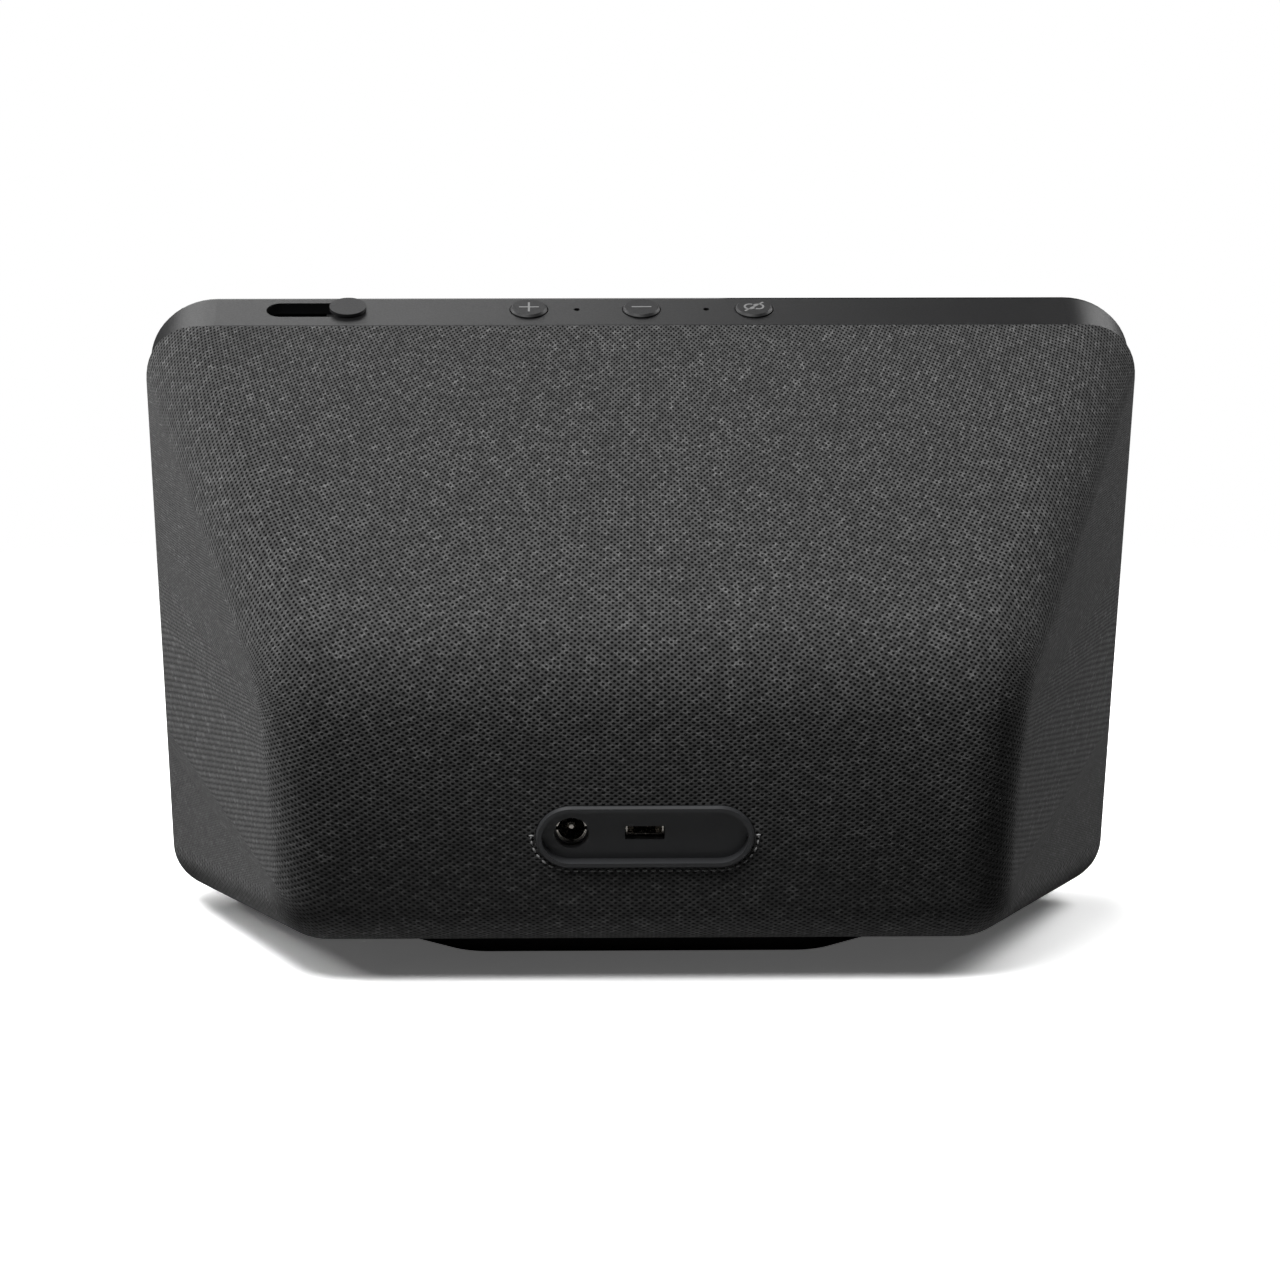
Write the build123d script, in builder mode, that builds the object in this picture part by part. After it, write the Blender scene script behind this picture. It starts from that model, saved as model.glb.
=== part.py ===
from build123d import *
from math import acos, cos, degrees, radians, sin, tan
import os

# A table-top smart speaker with a touch screen, built from its housing back to its port.
#
# A flat screen housing leans back on a low rubber foot. A knit-covered acoustic shell tapers away behind
# it, holds two side-firing drivers and a passive radiator, and carries the power socket low on its back.
#
# Millimetres, +Z up. The screen faces -Y, and +X is to the right of someone who faces the screen.
# The origin is on the table, under the middle of the object's box.

os.makedirs("parts", exist_ok=True)

# ---- overall form ----------------------------------------------------------------------------------
WIDTH = 200.4
HEIGHT = 135.9
DEPTH = 99.1
TILT = 21.0                # the screen leans back this far from the vertical, degrees
SCREEN_LENGTH = 137.5      # the housing's length along its lean
HOUSING_DEPTH = 13.0       # the glass and the housing together, square to the screen
CORNER_R = 14.2            # corners of the housing

BACK_RISE = 32.0           # the upper back faces this far above the horizontal, degrees
KNEE_R = 30.0              # the turn from the upper back into the belly
BELLY_TURN = -9.0          # the belly starts where the back faces this direction, degrees
BELLY_R = 160.0            # the long, nearly flat arc of the lower back
CHIN_R = 18.0              # the turn from the belly into the underside
UNDERSIDE_RISE = 4.2       # the underside climbs towards the back, degrees
SIDE_TAPER = 24.0          # the sides close in behind the housing, degrees
CREASE_R = 13.0            # the turn from each side into the back and the underside

# ---- skins, walls and clearances -------------------------------------------------------------------
FABRIC = 1.2
GLUE = 0.1
SHELL = 2.2
SHELL_OUT = FABRIC + GLUE              # the shell's outer face lies this far inside the form
SHELL_IN = SHELL_OUT + SHELL
HOUSING_WALL = 2.4
CLEAR = 0.2                # between pieces that must not touch
SLIDE_CLEAR = 0.3          # round a piece that moves
EDGE_CHAMFER = 0.4
EDGE_ROUND = 0.35

# ---- directions and planes -------------------------------------------------------------------------
lean = radians(TILT)
UP_SCREEN = Vector(0, sin(lean), cos(lean))
REARWARD = Vector(0, cos(lean), -sin(lean))
screen_foot = Vector(
    0,
    -DEPTH / 2 + HOUSING_DEPTH * cos(lean),
    HEIGHT - SCREEN_LENGTH * cos(lean) - HOUSING_DEPTH * sin(lean),
)
screen_head = screen_foot + UP_SCREEN * SCREEN_LENGTH
# The housing's rear face: x to the right, y up the screen, z out of the screen.
SCREEN = Plane(origin=screen_foot, x_dir=(1, 0, 0), z_dir=-REARWARD)
mid_up = SCREEN_LENGTH / 2


def facing(angle):
    """The direction in the side view that faces this many degrees above straight back."""
    return Vector(0, cos(radians(angle)), sin(radians(angle)))


def behind(depth):
    """The plane parallel to the screen that lies this far behind the housing's rear face."""
    return SCREEN.offset(-depth)


# ---- the back's side profile -----------------------------------------------------------------------
# A straight upper back runs tangent into the knee, the belly and the chin, and the straight underside.
back_normal = facing(BACK_RISE)
under_normal = facing(UNDERSIDE_RISE - 90)
knee_y = DEPTH / 2 - KNEE_R
knee_z = (screen_head.dot(back_normal) - KNEE_R - knee_y * back_normal.Y) / back_normal.Z
knee = Vector(0, knee_y, knee_z)
belly = knee - facing(BELLY_TURN) * (BELLY_R - KNEE_R)
chin_drop = screen_foot.dot(under_normal) - belly.dot(under_normal) - CHIN_R
CHIN_TURN = UNDERSIDE_RISE - 90 + degrees(acos(chin_drop / (BELLY_R - CHIN_R)))
chin = belly + facing(CHIN_TURN) * (BELLY_R - CHIN_R)
side_slope = tan(radians(SIDE_TAPER))


def to_front(start, direction):
    """The point where a line from start meets the plane of the housing's rear face."""
    run = (screen_foot - start).dot(REARWARD) / direction.dot(REARWARD)
    return start + direction * run


def back_form(inset):
    """The solid back behind the housing, taken in by inset on every side but its front."""
    back_start = knee + back_normal * (KNEE_R - inset)
    under_start = chin + under_normal * (CHIN_R - inset)
    head = to_front(back_start, facing(BACK_RISE + 90))
    toe = to_front(under_start, facing(UNDERSIDE_RISE))
    side = WIDTH / 2 - inset / cos(radians(SIDE_TAPER))
    with BuildPart() as form:
        with BuildSketch(Plane.YZ):
            with BuildLine():
                Line((toe.Y, toe.Z), (head.Y, head.Z))
                Line((head.Y, head.Z), (back_start.Y, back_start.Z))
                CenterArc((knee.Y, knee.Z), KNEE_R - inset, BACK_RISE, BELLY_TURN - BACK_RISE)
                CenterArc((belly.Y, belly.Z), BELLY_R - inset, BELLY_TURN, CHIN_TURN - BELLY_TURN)
                CenterArc(
                    (chin.Y, chin.Z), CHIN_R - inset, CHIN_TURN, UNDERSIDE_RISE - 90 - CHIN_TURN
                )
                Line((under_start.Y, under_start.Z), (toe.Y, toe.Z))
            make_face()
        extrude(amount=WIDTH, both=True)
        with BuildSketch(Plane(origin=screen_foot, x_dir=(1, 0, 0), z_dir=UP_SCREEN)):
            Polygon(
                (-side, 0),
                (side, 0),
                (side - DEPTH * side_slope, DEPTH),
                (DEPTH * side_slope - side, DEPTH),
                align=None,
            )
        extrude(amount=2 * HEIGHT, both=True, mode=Mode.INTERSECT)
        side_faces = form.faces().filter_by(lambda face: abs(face.normal_at().X) > 0.5)
        side_edges = [edge for face in side_faces for edge in face.edges()]
        creases = [
            edge for edge in side_edges if (edge @ 0.5 - screen_foot).dot(REARWARD) > 0.01
        ]
        fillet(creases, CREASE_R - inset)
    return form.part


# Solids that several pieces share.
form_outside = back_form(0)
form_fabric_in = back_form(FABRIC)
form_shell_out = back_form(SHELL_OUT)
form_shell_in = back_form(SHELL_IN)

# ---- planes of the features on the back ------------------------------------------------------------
PORT_TURN = -18.1          # the port faces this direction, degrees
# The port, on the fabric's surface: x to the left of the screen's viewer, y up the belly, z outwards.
PORT = Plane(
    origin=belly + facing(PORT_TURN) * BELLY_R, x_dir=(-1, 0, 0), z_dir=facing(PORT_TURN)
)
# The underside, on the fabric's surface: x to the right, y backwards, z into the object.
UNDER = Plane(origin=screen_foot, x_dir=(1, 0, 0), z_dir=-under_normal)
# The upper back, on the shell's inner face: x to the left, y up the slope, z outwards.
RADIATOR_DOWN = 37.0       # the radiator's centre, down the upper back from the housing
radiator_centre = screen_head - facing(BACK_RISE + 90) * RADIATOR_DOWN - back_normal * SHELL_IN
UPPER_BACK = Plane(origin=radiator_centre, x_dir=(-1, 0, 0), z_dir=back_normal)
# The top edge of the housing: x to the right, y rearwards from the control line, z up the screen.
CONTROL_LINE = 6.0         # the buttons' centre line, behind the front of the glass
control_centre = screen_head + REARWARD * (CONTROL_LINE - HOUSING_DEPTH)
TOP = Plane(origin=control_centre, x_dir=(1, 0, 0), z_dir=UP_SCREEN)

# ---- cover glass and display -----------------------------------------------------------------------
GLASS = 1.1
GLASS_REVEAL = 0.3         # the glass stops this far inside the housing's edge
PANEL_SIZE = (176.0, 112.0)
PANEL = 1.6
TRAY_SIZE = (178.0, 114.0)
TRAY = 2.4
TRAY_RIM = 1.2
CHASSIS = 1.5
CHASSIS_MARGIN = 8.2       # from the housing's edge to the chassis
glass_back = GLASS - HOUSING_DEPTH
panel_back = glass_back + PANEL
tray_back = panel_back + TRAY
chassis_back = tray_back + CHASSIS

with BuildPart() as cover_glass:
    with BuildSketch(behind(glass_back)):
        with Locations((0, mid_up)):
            RectangleRounded(
                WIDTH - 2 * GLASS_REVEAL, SCREEN_LENGTH - 2 * GLASS_REVEAL, CORNER_R - GLASS_REVEAL
            )
    extrude(amount=GLASS)
    chamfer(cover_glass.faces().sort_by(Axis(screen_foot, REARWARD))[0].edges(), EDGE_CHAMFER)
cover_glass.part.label = "cover_glass"
export_step(cover_glass.part, "parts/cover_glass.step")

with BuildPart() as lcd_panel:
    with BuildSketch(behind(panel_back)):
        with Locations((0, mid_up)):
            Rectangle(*PANEL_SIZE)
    extrude(amount=PANEL)
lcd_panel.part.label = "lcd_panel"
export_step(lcd_panel.part, "parts/lcd_panel.step")

with BuildPart() as backlight_tray:
    with BuildSketch(behind(tray_back)):
        with Locations((0, mid_up)):
            RectangleRounded(*TRAY_SIZE, TRAY_RIM)
    extrude(amount=TRAY)
    chamfer(
        backlight_tray.faces().sort_by(Axis(screen_foot, REARWARD))[-1].edges(), EDGE_CHAMFER
    )
backlight_tray.part.label = "backlight_tray"
export_step(backlight_tray.part, "parts/backlight_tray.step")

# ---- screws that hold bulkhead, shell, housing and chassis together ---------------------------------
SCREW_R = 1.2
SCREW_HOLE_R = 1.4
SCREW_HEAD_R = 2.3
SCREW_HEAD = 1.6
BOSS_R = 3.1
LEDGE = 4.0                # depth of the shell's clamping ledge
BULKHEAD = 2.0
SIDE_SCREW_IN = 13.0       # from the housing's side to the side screws
END_SCREW_IN = 16.0        # from its top and bottom
LEDGE_IN = 20.0            # width of the clamping ledge
HOUSING_FLANGE = 1.6
screw_x = WIDTH / 2 - SIDE_SCREW_IN
screw_up = mid_up - END_SCREW_IN
MIDDLE_SCREW_X = 42.0
CAMERA_X = 72.9
screw_places = [
    (x, mid_up + side * screw_up) for x in (-screw_x, -MIDDLE_SCREW_X, MIDDLE_SCREW_X, screw_x)
    for side in (-1, 1)
]
boss_length = -chassis_back - HOUSING_FLANGE

# ---- controls along the top edge: sizes ------------------------------------------------------------
BUTTON_R = 3.75
BUTTON_PROUD = 0.6
BUTTON_PITCH = 22.8
BUTTON_TRAVEL = 0.8
BUTTON_FLANGE_R = 4.7
BUTTON_FLANGE = 1.2
NUB_R = 1.2
NUB = 1.0
MIC_HOLE_R = 0.6
MIC_X = 13.1
SLOT_LENGTH = 19.5
SLOT_WIDTH = 6.0
SLIDER_TRAVEL = 13.5
SLIDER_CAP_R = 3.7
SLIDER_PROUD = 0.9
SLIDER_STEM_R = 2.8
slider_x = CAMERA_X - SLIDER_TRAVEL
slot_x = CAMERA_X - SLIDER_TRAVEL / 2
button_places = [(x, 0) for x in (BUTTON_PITCH, 0, -BUTTON_PITCH)]
mic_places = [(-MIC_X, 0), (MIC_X, 0)]

# ---- screen frame: the housing band with its rear flange and bosses ---------------------------------
with BuildPart() as screen_frame:
    with BuildSketch(behind(0)):
        with Locations((0, mid_up)):
            RectangleRounded(WIDTH, SCREEN_LENGTH, CORNER_R)
    extrude(amount=-glass_back)
    fillet(screen_frame.faces().sort_by(Axis(screen_foot, REARWARD))[0].edges(), EDGE_ROUND)
    fillet(screen_frame.faces().sort_by(Axis(screen_foot, REARWARD))[-1].edges(), EDGE_ROUND)
    with BuildSketch(behind(-HOUSING_FLANGE)):
        with Locations((0, mid_up)):
            RectangleRounded(
                WIDTH - 2 * HOUSING_WALL, SCREEN_LENGTH - 2 * HOUSING_WALL, CORNER_R - HOUSING_WALL
            )
    extrude(amount=HOUSING_DEPTH, mode=Mode.SUBTRACT)
    with BuildSketch(behind(0)):
        with Locations((0, mid_up)):
            RectangleRounded(WIDTH - 2 * LEDGE_IN, SCREEN_LENGTH - 2 * LEDGE_IN, HOUSING_WALL)
    extrude(amount=HOUSING_FLANGE, mode=Mode.SUBTRACT)
    with BuildSketch(behind(-HOUSING_FLANGE)):
        with Locations(*screw_places):
            Circle(BOSS_R)
    extrude(amount=boss_length)
    with BuildSketch(behind(0)):
        with Locations(*screw_places):
            Circle(SCREW_R)
    extrude(amount=-chassis_back, mode=Mode.SUBTRACT)
    with BuildSketch(TOP):
        with Locations(*button_places):
            Circle(BUTTON_R + CLEAR)
        with Locations((slot_x, 0)):
            SlotOverall(SLOT_LENGTH, SLOT_WIDTH)
        with Locations(*mic_places):
            Circle(MIC_HOLE_R)
    extrude(amount=-2 * HOUSING_WALL, mode=Mode.SUBTRACT)
screen_frame.part.label = "screen_frame"
export_step(screen_frame.part, "parts/screen_frame.step")

# ---- mid chassis: the metal plate behind the display ------------------------------------------------
CHASSIS_SCREW_HEAD_R = 1.9
CHASSIS_SCREW_R = 1.0
CHASSIS_SCREW_LENGTH = 4.2
BOARD_SHELF = 2.0          # the chassis reaches up this far to carry the button board
STANDOFF_R = 2.6
STANDOFF = 2.0
BOARD_SIZE = (122.0, 76.0)
BOARD = 1.2
BOARD_UP = 66.0
BOARD_HOLE_IN = 4.0
board_places = [
    (x * (BOARD_SIZE[0] / 2 - BOARD_HOLE_IN), BOARD_UP + y * (BOARD_SIZE[1] / 2 - BOARD_HOLE_IN))
    for x in (-1, 1) for y in (-1, 1)
]
chassis_top = SCREEN_LENGTH - CHASSIS_MARGIN - BOARD_SHELF

with BuildPart() as mid_chassis:
    with BuildSketch(behind(chassis_back)):
        with Locations((0, (chassis_top + CHASSIS_MARGIN) / 2)):
            RectangleRounded(WIDTH - 2 * CHASSIS_MARGIN, chassis_top - CHASSIS_MARGIN, BOSS_R)
        with Locations((0, chassis_top)):
            Rectangle(2 * BUTTON_PITCH + 4 * BUTTON_R, 2 * BOARD_SHELF)
        with Locations(*screw_places):
            Circle(CHASSIS_SCREW_R + CLEAR, mode=Mode.SUBTRACT)
    extrude(amount=CHASSIS)
    with BuildSketch(behind(chassis_back + STANDOFF)):
        with Locations(*board_places):
            Circle(STANDOFF_R)
    extrude(amount=STANDOFF)
    with Locations(*[SCREEN.offset(-tray_back) * Location((x, up, 0)) for x, up in screw_places]):
        Cone(
            CHASSIS_SCREW_R + CLEAR,
            CHASSIS_SCREW_HEAD_R + CLEAR,
            CHASSIS,
            align=(Align.CENTER, Align.CENTER, Align.MAX),
            mode=Mode.SUBTRACT,
        )
mid_chassis.part.label = "mid_chassis"
export_step(mid_chassis.part, "parts/mid_chassis.step")

with BuildPart() as chassis_screws:
    with Locations(*[SCREEN.offset(-tray_back) * Location((x, up, 0)) for x, up in screw_places]):
        Cone(
            CHASSIS_SCREW_R,
            CHASSIS_SCREW_HEAD_R,
            CHASSIS,
            align=(Align.CENTER, Align.CENTER, Align.MAX),
        )
        Cylinder(
            CHASSIS_SCREW_R, CHASSIS_SCREW_LENGTH, align=(Align.CENTER, Align.CENTER, Align.MAX)
        )
chassis_screws.part.label = "chassis_screws"
export_step(chassis_screws.part, "parts/chassis_screws.step")

# ---- drivers: sizes that the shell shares -----------------------------------------------------------
DRIVER_DEPTH = 34.0        # the driver's centre, behind the housing
DRIVER_UP = 64.0
SEAT_RISE = 1.5            # a raised seat on the shell keeps each speaker clear of the fabric
DRIVER_R = 26.2
DRIVER_OPEN_R = 22.6
DRIVER_SCREW_R = 24.4
DRIVER_SCREWS = 4
DRIVER_SCREW_TURN = 45.0   # the first screw's place round the driver, degrees
SMALL_SCREW_R = 0.9
SMALL_HEAD_R = 1.5
SMALL_HEAD = 1.0
SMALL_SCREW_LENGTH = 4.4
DRIVER_FLANGE = 1.6
RADIATOR_SIZE = (100.0, 44.0)
RADIATOR_OPEN = (90.0, 34.0)
RADIATOR_CORNER = 12.0
RADIATOR_FRAME = 2.0


def driver_plane(side):
    """A driver's seat, on the shell's inner face: z outwards and x up the screen."""
    reach = WIDTH / 2 - DRIVER_DEPTH * side_slope - SHELL_IN / cos(radians(SIDE_TAPER))
    outwards = Vector(side * cos(radians(SIDE_TAPER)), 0, 0) + REARWARD * sin(radians(SIDE_TAPER))
    place = screen_foot + Vector(side * reach, 0, 0) + UP_SCREEN * DRIVER_UP + REARWARD * DRIVER_DEPTH
    return Plane(origin=place, x_dir=UP_SCREEN, z_dir=outwards)


SIDES = {"left": -1, "right": 1}
radiator_screws = [
    (x * (RADIATOR_SIZE[0] / 2 - BOSS_R), y * (RADIATOR_SIZE[1] / 2 - BOSS_R))
    for x in (-1, 1) for y in (-1, 1)
]

# ---- port: sizes that the shell and the fabric share ------------------------------------------------
PORT_SIZE = (43.5, 14.2)
BEZEL_PROUD = 0.5
BEZEL_WALL = 1.2
PORT_RECESS = 1.6
PORT_FLOOR = 1.6
BEZEL_LIP = 2.0            # the bezel's flange inside the shell is wider by this much
BEZEL_LIP_THICK = 1.5
SHELL_SAG = 0.4            # the curved shell falls away from a flat seat by less than this
bezel_back = SHELL_IN + SHELL_SAG + BEZEL_LIP_THICK

# ---- foot: sizes that the shell, the fabric and the base plate share --------------------------------
FOOT_FRONT = 15.0          # from the front of the housing's lower edge
FOOT_BACK = 56.0
FOOT_FRONT_X = 56.0
FOOT_BACK_X = 36.0
FOOT_TURN = 36.0           # the foot's sides start to close in here
FOOT_R = 11.0
FOOT_REACH = 34.0          # the foot's sketches are drawn up this far, past the underside
FOOT_CLEAR = 0.6           # the base plate stands this far out of the fabric
BASE_MARGIN = 2.5          # the base plate stops this far inside the foot's edge
SHELL_BOSS = 3.0
front_y = -DEPTH / 2
foot_outline = [
    (-FOOT_FRONT_X, front_y + FOOT_FRONT),
    (FOOT_FRONT_X, front_y + FOOT_FRONT),
    (FOOT_FRONT_X, front_y + FOOT_TURN),
    (FOOT_BACK_X, front_y + FOOT_BACK),
    (-FOOT_BACK_X, front_y + FOOT_BACK),
    (-FOOT_FRONT_X, front_y + FOOT_TURN),
]
FRONT_BASE_SCREW = (44.0, 15.0)        # across, and back along the underside
BACK_BASE_SCREW = (26.0, 34.0)
base_screw_places = [
    (side * x, y) for x, y in (FRONT_BASE_SCREW, BACK_BASE_SCREW) for side in (-1, 1)
]

with BuildSketch() as foot_plan:
    Polygon(*foot_outline, align=None)
    fillet(foot_plan.vertices(), FOOT_R)

with BuildSketch() as base_plan:
    Polygon(*foot_outline, align=None)
    fillet(base_plan.vertices(), FOOT_R)
    offset(amount=-BASE_MARGIN)

# ---- rear shell: the stiff, sealed acoustic wall under the fabric -----------------------------------
with BuildPart() as clamp_ledge:
    add(form_shell_out)
    with BuildSketch(behind(0)):
        with Locations((0, mid_up)):
            Rectangle(WIDTH, SCREEN_LENGTH)
            RectangleRounded(
                WIDTH - 2 * LEDGE_IN, SCREEN_LENGTH - 2 * LEDGE_IN, HOUSING_WALL, mode=Mode.SUBTRACT
            )
    extrude(amount=-LEDGE, mode=Mode.INTERSECT)

with BuildPart() as rear_shell:
    add(form_shell_out)
    add(form_shell_in, mode=Mode.SUBTRACT)
    add(clamp_ledge.part)
    with BuildSketch(behind(LEDGE)):
        with Locations(*screw_places):
            Circle(SCREW_HOLE_R)
    extrude(amount=LEDGE, mode=Mode.SUBTRACT)
    for side in SIDES.values():
        seat = driver_plane(side)
        with BuildSketch(seat):
            Circle(DRIVER_R + CLEAR)
        extrude(amount=-SEAT_RISE)
        with BuildSketch(seat.offset(-SEAT_RISE)):
            Circle(DRIVER_OPEN_R)
        extrude(amount=SEAT_RISE + 2 * SHELL, mode=Mode.SUBTRACT)
        with BuildSketch(seat.offset(-SEAT_RISE)):
            with PolarLocations(DRIVER_SCREW_R, DRIVER_SCREWS, DRIVER_SCREW_TURN):
                Circle(SMALL_SCREW_R)
        extrude(amount=SMALL_SCREW_LENGTH - DRIVER_FLANGE, mode=Mode.SUBTRACT)
    with BuildSketch(UPPER_BACK):
        RectangleRounded(*RADIATOR_SIZE, RADIATOR_CORNER)
    extrude(amount=-SEAT_RISE)
    with BuildSketch(UPPER_BACK.offset(-SEAT_RISE)):
        RectangleRounded(*RADIATOR_OPEN, RADIATOR_CORNER)
    extrude(amount=SEAT_RISE + 2 * SHELL, mode=Mode.SUBTRACT)
    with BuildSketch(UPPER_BACK.offset(-SEAT_RISE)):
        with Locations(*radiator_screws):
            Circle(SMALL_SCREW_R)
    extrude(amount=SMALL_SCREW_LENGTH - RADIATOR_FRAME, mode=Mode.SUBTRACT)
    with BuildSketch(PORT.offset(-bezel_back)):
        SlotOverall(PORT_SIZE[0] + 2 * CLEAR, PORT_SIZE[1] + 2 * CLEAR)
    extrude(amount=bezel_back, mode=Mode.SUBTRACT)
    with BuildSketch(UNDER.offset(SHELL_IN - SHELL)):
        with Locations(*base_screw_places):
            Circle(BOSS_R)
    extrude(amount=SHELL + SHELL_BOSS)
    with BuildSketch(UNDER.offset(SHELL_IN - SHELL)):
        with Locations(*base_screw_places):
            Circle(SMALL_SCREW_R)
    extrude(amount=SHELL + SHELL_BOSS, mode=Mode.SUBTRACT)
rear_shell.part.label = "rear_shell"
export_step(rear_shell.part, "parts/rear_shell.step")

# ---- bulkhead: closes the acoustic chamber and clamps the shell to the housing ----------------------
bulkhead_limit = back_form(SHELL_IN + CLEAR)
with BuildPart() as bulkhead:
    add(bulkhead_limit)
    with BuildSketch(behind(LEDGE)):
        with Locations((0, mid_up)):
            Rectangle(WIDTH, SCREEN_LENGTH)
    extrude(amount=-BULKHEAD, mode=Mode.INTERSECT)
    with BuildSketch(behind(LEDGE)):
        with Locations(*screw_places):
            Circle(SCREW_HOLE_R)
    extrude(amount=-BULKHEAD, mode=Mode.SUBTRACT)
bulkhead.part.label = "bulkhead"
export_step(bulkhead.part, "parts/bulkhead.step")

bulkhead_back = LEDGE + BULKHEAD
HOUSING_SCREW = 9.2
with BuildPart() as housing_screws:
    with BuildSketch(behind(bulkhead_back)):
        with Locations(*screw_places):
            Circle(SCREW_R)
    extrude(amount=HOUSING_SCREW)
    with BuildSketch(behind(bulkhead_back)):
        with Locations(*screw_places):
            Circle(SCREW_HEAD_R)
    extrude(amount=-SCREW_HEAD)
housing_screws.part.label = "housing_screws"
export_step(housing_screws.part, "parts/housing_screws.step")

# ---- fabric cover: one moulded sock of spacer knit, open at the housing, the port and the foot ------
with BuildPart() as fabric_cover:
    add(form_outside)
    add(form_fabric_in, mode=Mode.SUBTRACT)
    with BuildSketch(PORT.offset(-bezel_back)):
        SlotOverall(PORT_SIZE[0] + 2 * CLEAR, PORT_SIZE[1] + 2 * CLEAR)
    extrude(amount=2 * bezel_back, mode=Mode.SUBTRACT)
    with BuildSketch():
        add(base_plan.sketch)
        offset(amount=CLEAR)
    extrude(amount=FOOT_REACH, mode=Mode.SUBTRACT)
fabric_cover.part.label = "fabric_cover"
export_step(fabric_cover.part, "parts/fabric_cover.step")

# ---- base plate and foot ---------------------------------------------------------------------------
with BuildPart() as base_plate:
    with BuildSketch(UNDER.offset(-FOOT_CLEAR)):
        with Locations((0, DEPTH / 2)):
            Rectangle(WIDTH, DEPTH)
    extrude(amount=FOOT_CLEAR + SHELL_OUT)
    with BuildSketch():
        add(base_plan.sketch)
    extrude(amount=FOOT_REACH, mode=Mode.INTERSECT)
    with Locations(
        *[UNDER.offset(-FOOT_CLEAR) * Location((x, y, 0)) for x, y in base_screw_places]
    ):
        Cone(
            SMALL_HEAD_R + CLEAR,
            SMALL_SCREW_R + CLEAR,
            FOOT_CLEAR + SHELL_OUT,
            align=(Align.CENTER, Align.CENTER, Align.MIN),
            mode=Mode.SUBTRACT,
        )
base_plate.part.label = "base_plate"
export_step(base_plate.part, "parts/base_plate.step")

with BuildPart() as base_screws:
    with Locations(
        *[UNDER.offset(-FOOT_CLEAR) * Location((x, y, 0)) for x, y in base_screw_places]
    ):
        Cone(
            SMALL_HEAD_R,
            SMALL_SCREW_R,
            FOOT_CLEAR + SHELL_OUT,
            align=(Align.CENTER, Align.CENTER, Align.MIN),
        )
    with Locations(*[UNDER.offset(SHELL_OUT) * Location((x, y, 0)) for x, y in base_screw_places]):
        Cylinder(SMALL_SCREW_R, SHELL + SHELL_BOSS, align=(Align.CENTER, Align.CENTER, Align.MIN))
base_screws.part.label = "base_screws"
export_step(base_screws.part, "parts/base_screws.step")

with BuildPart() as rubber_foot:
    with BuildSketch():
        add(foot_plan.sketch)
    extrude(amount=FOOT_REACH)
    split(bisect_by=UNDER.offset(-FOOT_CLEAR), keep=Keep.BOTTOM)
    chamfer(rubber_foot.faces().sort_by(Axis.Z)[0].edges(), EDGE_CHAMFER)
rubber_foot.part.label = "rubber_foot"
export_step(rubber_foot.part, "parts/rubber_foot.step")

# ---- port: bezel, pocket, board, power socket and service socket ------------------------------------
JACK_X = -14.6             # the power socket's centre, from the port's centre
JACK_OPEN_R = 3.5
JACK_BORE_R = 3.1
JACK_NOSE_R = 4.2
JACK_BODY = (9.0, 9.4)
JACK_LENGTH = 13.5
JACK_BORE = 10.5
PIN_R = 0.85
PIN_LENGTH = 9.6           # out of the bore's floor
PIN_ROOT_R = 0.6           # the pin is stepped down where it is pressed into the body
SPRING = 0.4
USB_OPEN = (7.9, 3.1)
USB_SHELL = (7.5, 2.6)
USB_WALL = 0.3
USB_LENGTH = 5.6
TONGUE = (4.4, 0.6)
TONGUE_LENGTH = 4.2
TONGUE_LIFT = 0.35
PORT_BOARD_LENGTH = 37.0
PORT_BOARD = 1.2
POCKET_WALL = 1.5
POCKET_DEEP = 17.0
POCKET_SIZE = (44.0, 14.0)
floor_front = -PORT_RECESS
floor_back = floor_front - PORT_FLOOR

with BuildPart() as port_bezel:
    with BuildSketch(PORT.offset(-bezel_back)):
        SlotOverall(*PORT_SIZE)
    extrude(amount=bezel_back + BEZEL_PROUD)
    chamfer(port_bezel.faces().sort_by(Axis(PORT.origin, PORT.z_dir))[-1].edges(), EDGE_CHAMFER)
    with BuildSketch(PORT.offset(-bezel_back)):
        SlotOverall(PORT_SIZE[0] + 2 * BEZEL_LIP, PORT_SIZE[1] + 2 * BEZEL_LIP)
    extrude(amount=BEZEL_LIP_THICK)
    with BuildSketch(PORT.offset(floor_front)):
        SlotOverall(PORT_SIZE[0] - 2 * BEZEL_WALL, PORT_SIZE[1] - 2 * BEZEL_WALL)
    extrude(amount=2 * bezel_back, mode=Mode.SUBTRACT)
    with BuildSketch(PORT.offset(floor_back)):
        SlotOverall(PORT_SIZE[0] - 2 * BEZEL_WALL, PORT_SIZE[1] - 2 * BEZEL_WALL)
    extrude(amount=-bezel_back, mode=Mode.SUBTRACT)
    with BuildSketch(PORT.offset(floor_back)):
        with Locations((JACK_X, 0)):
            Circle(JACK_OPEN_R)
        RectangleRounded(*USB_OPEN, CLEAR)
    extrude(amount=PORT_FLOOR, mode=Mode.SUBTRACT)
port_bezel.part.label = "port_bezel"
export_step(port_bezel.part, "parts/port_bezel.step")

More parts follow.
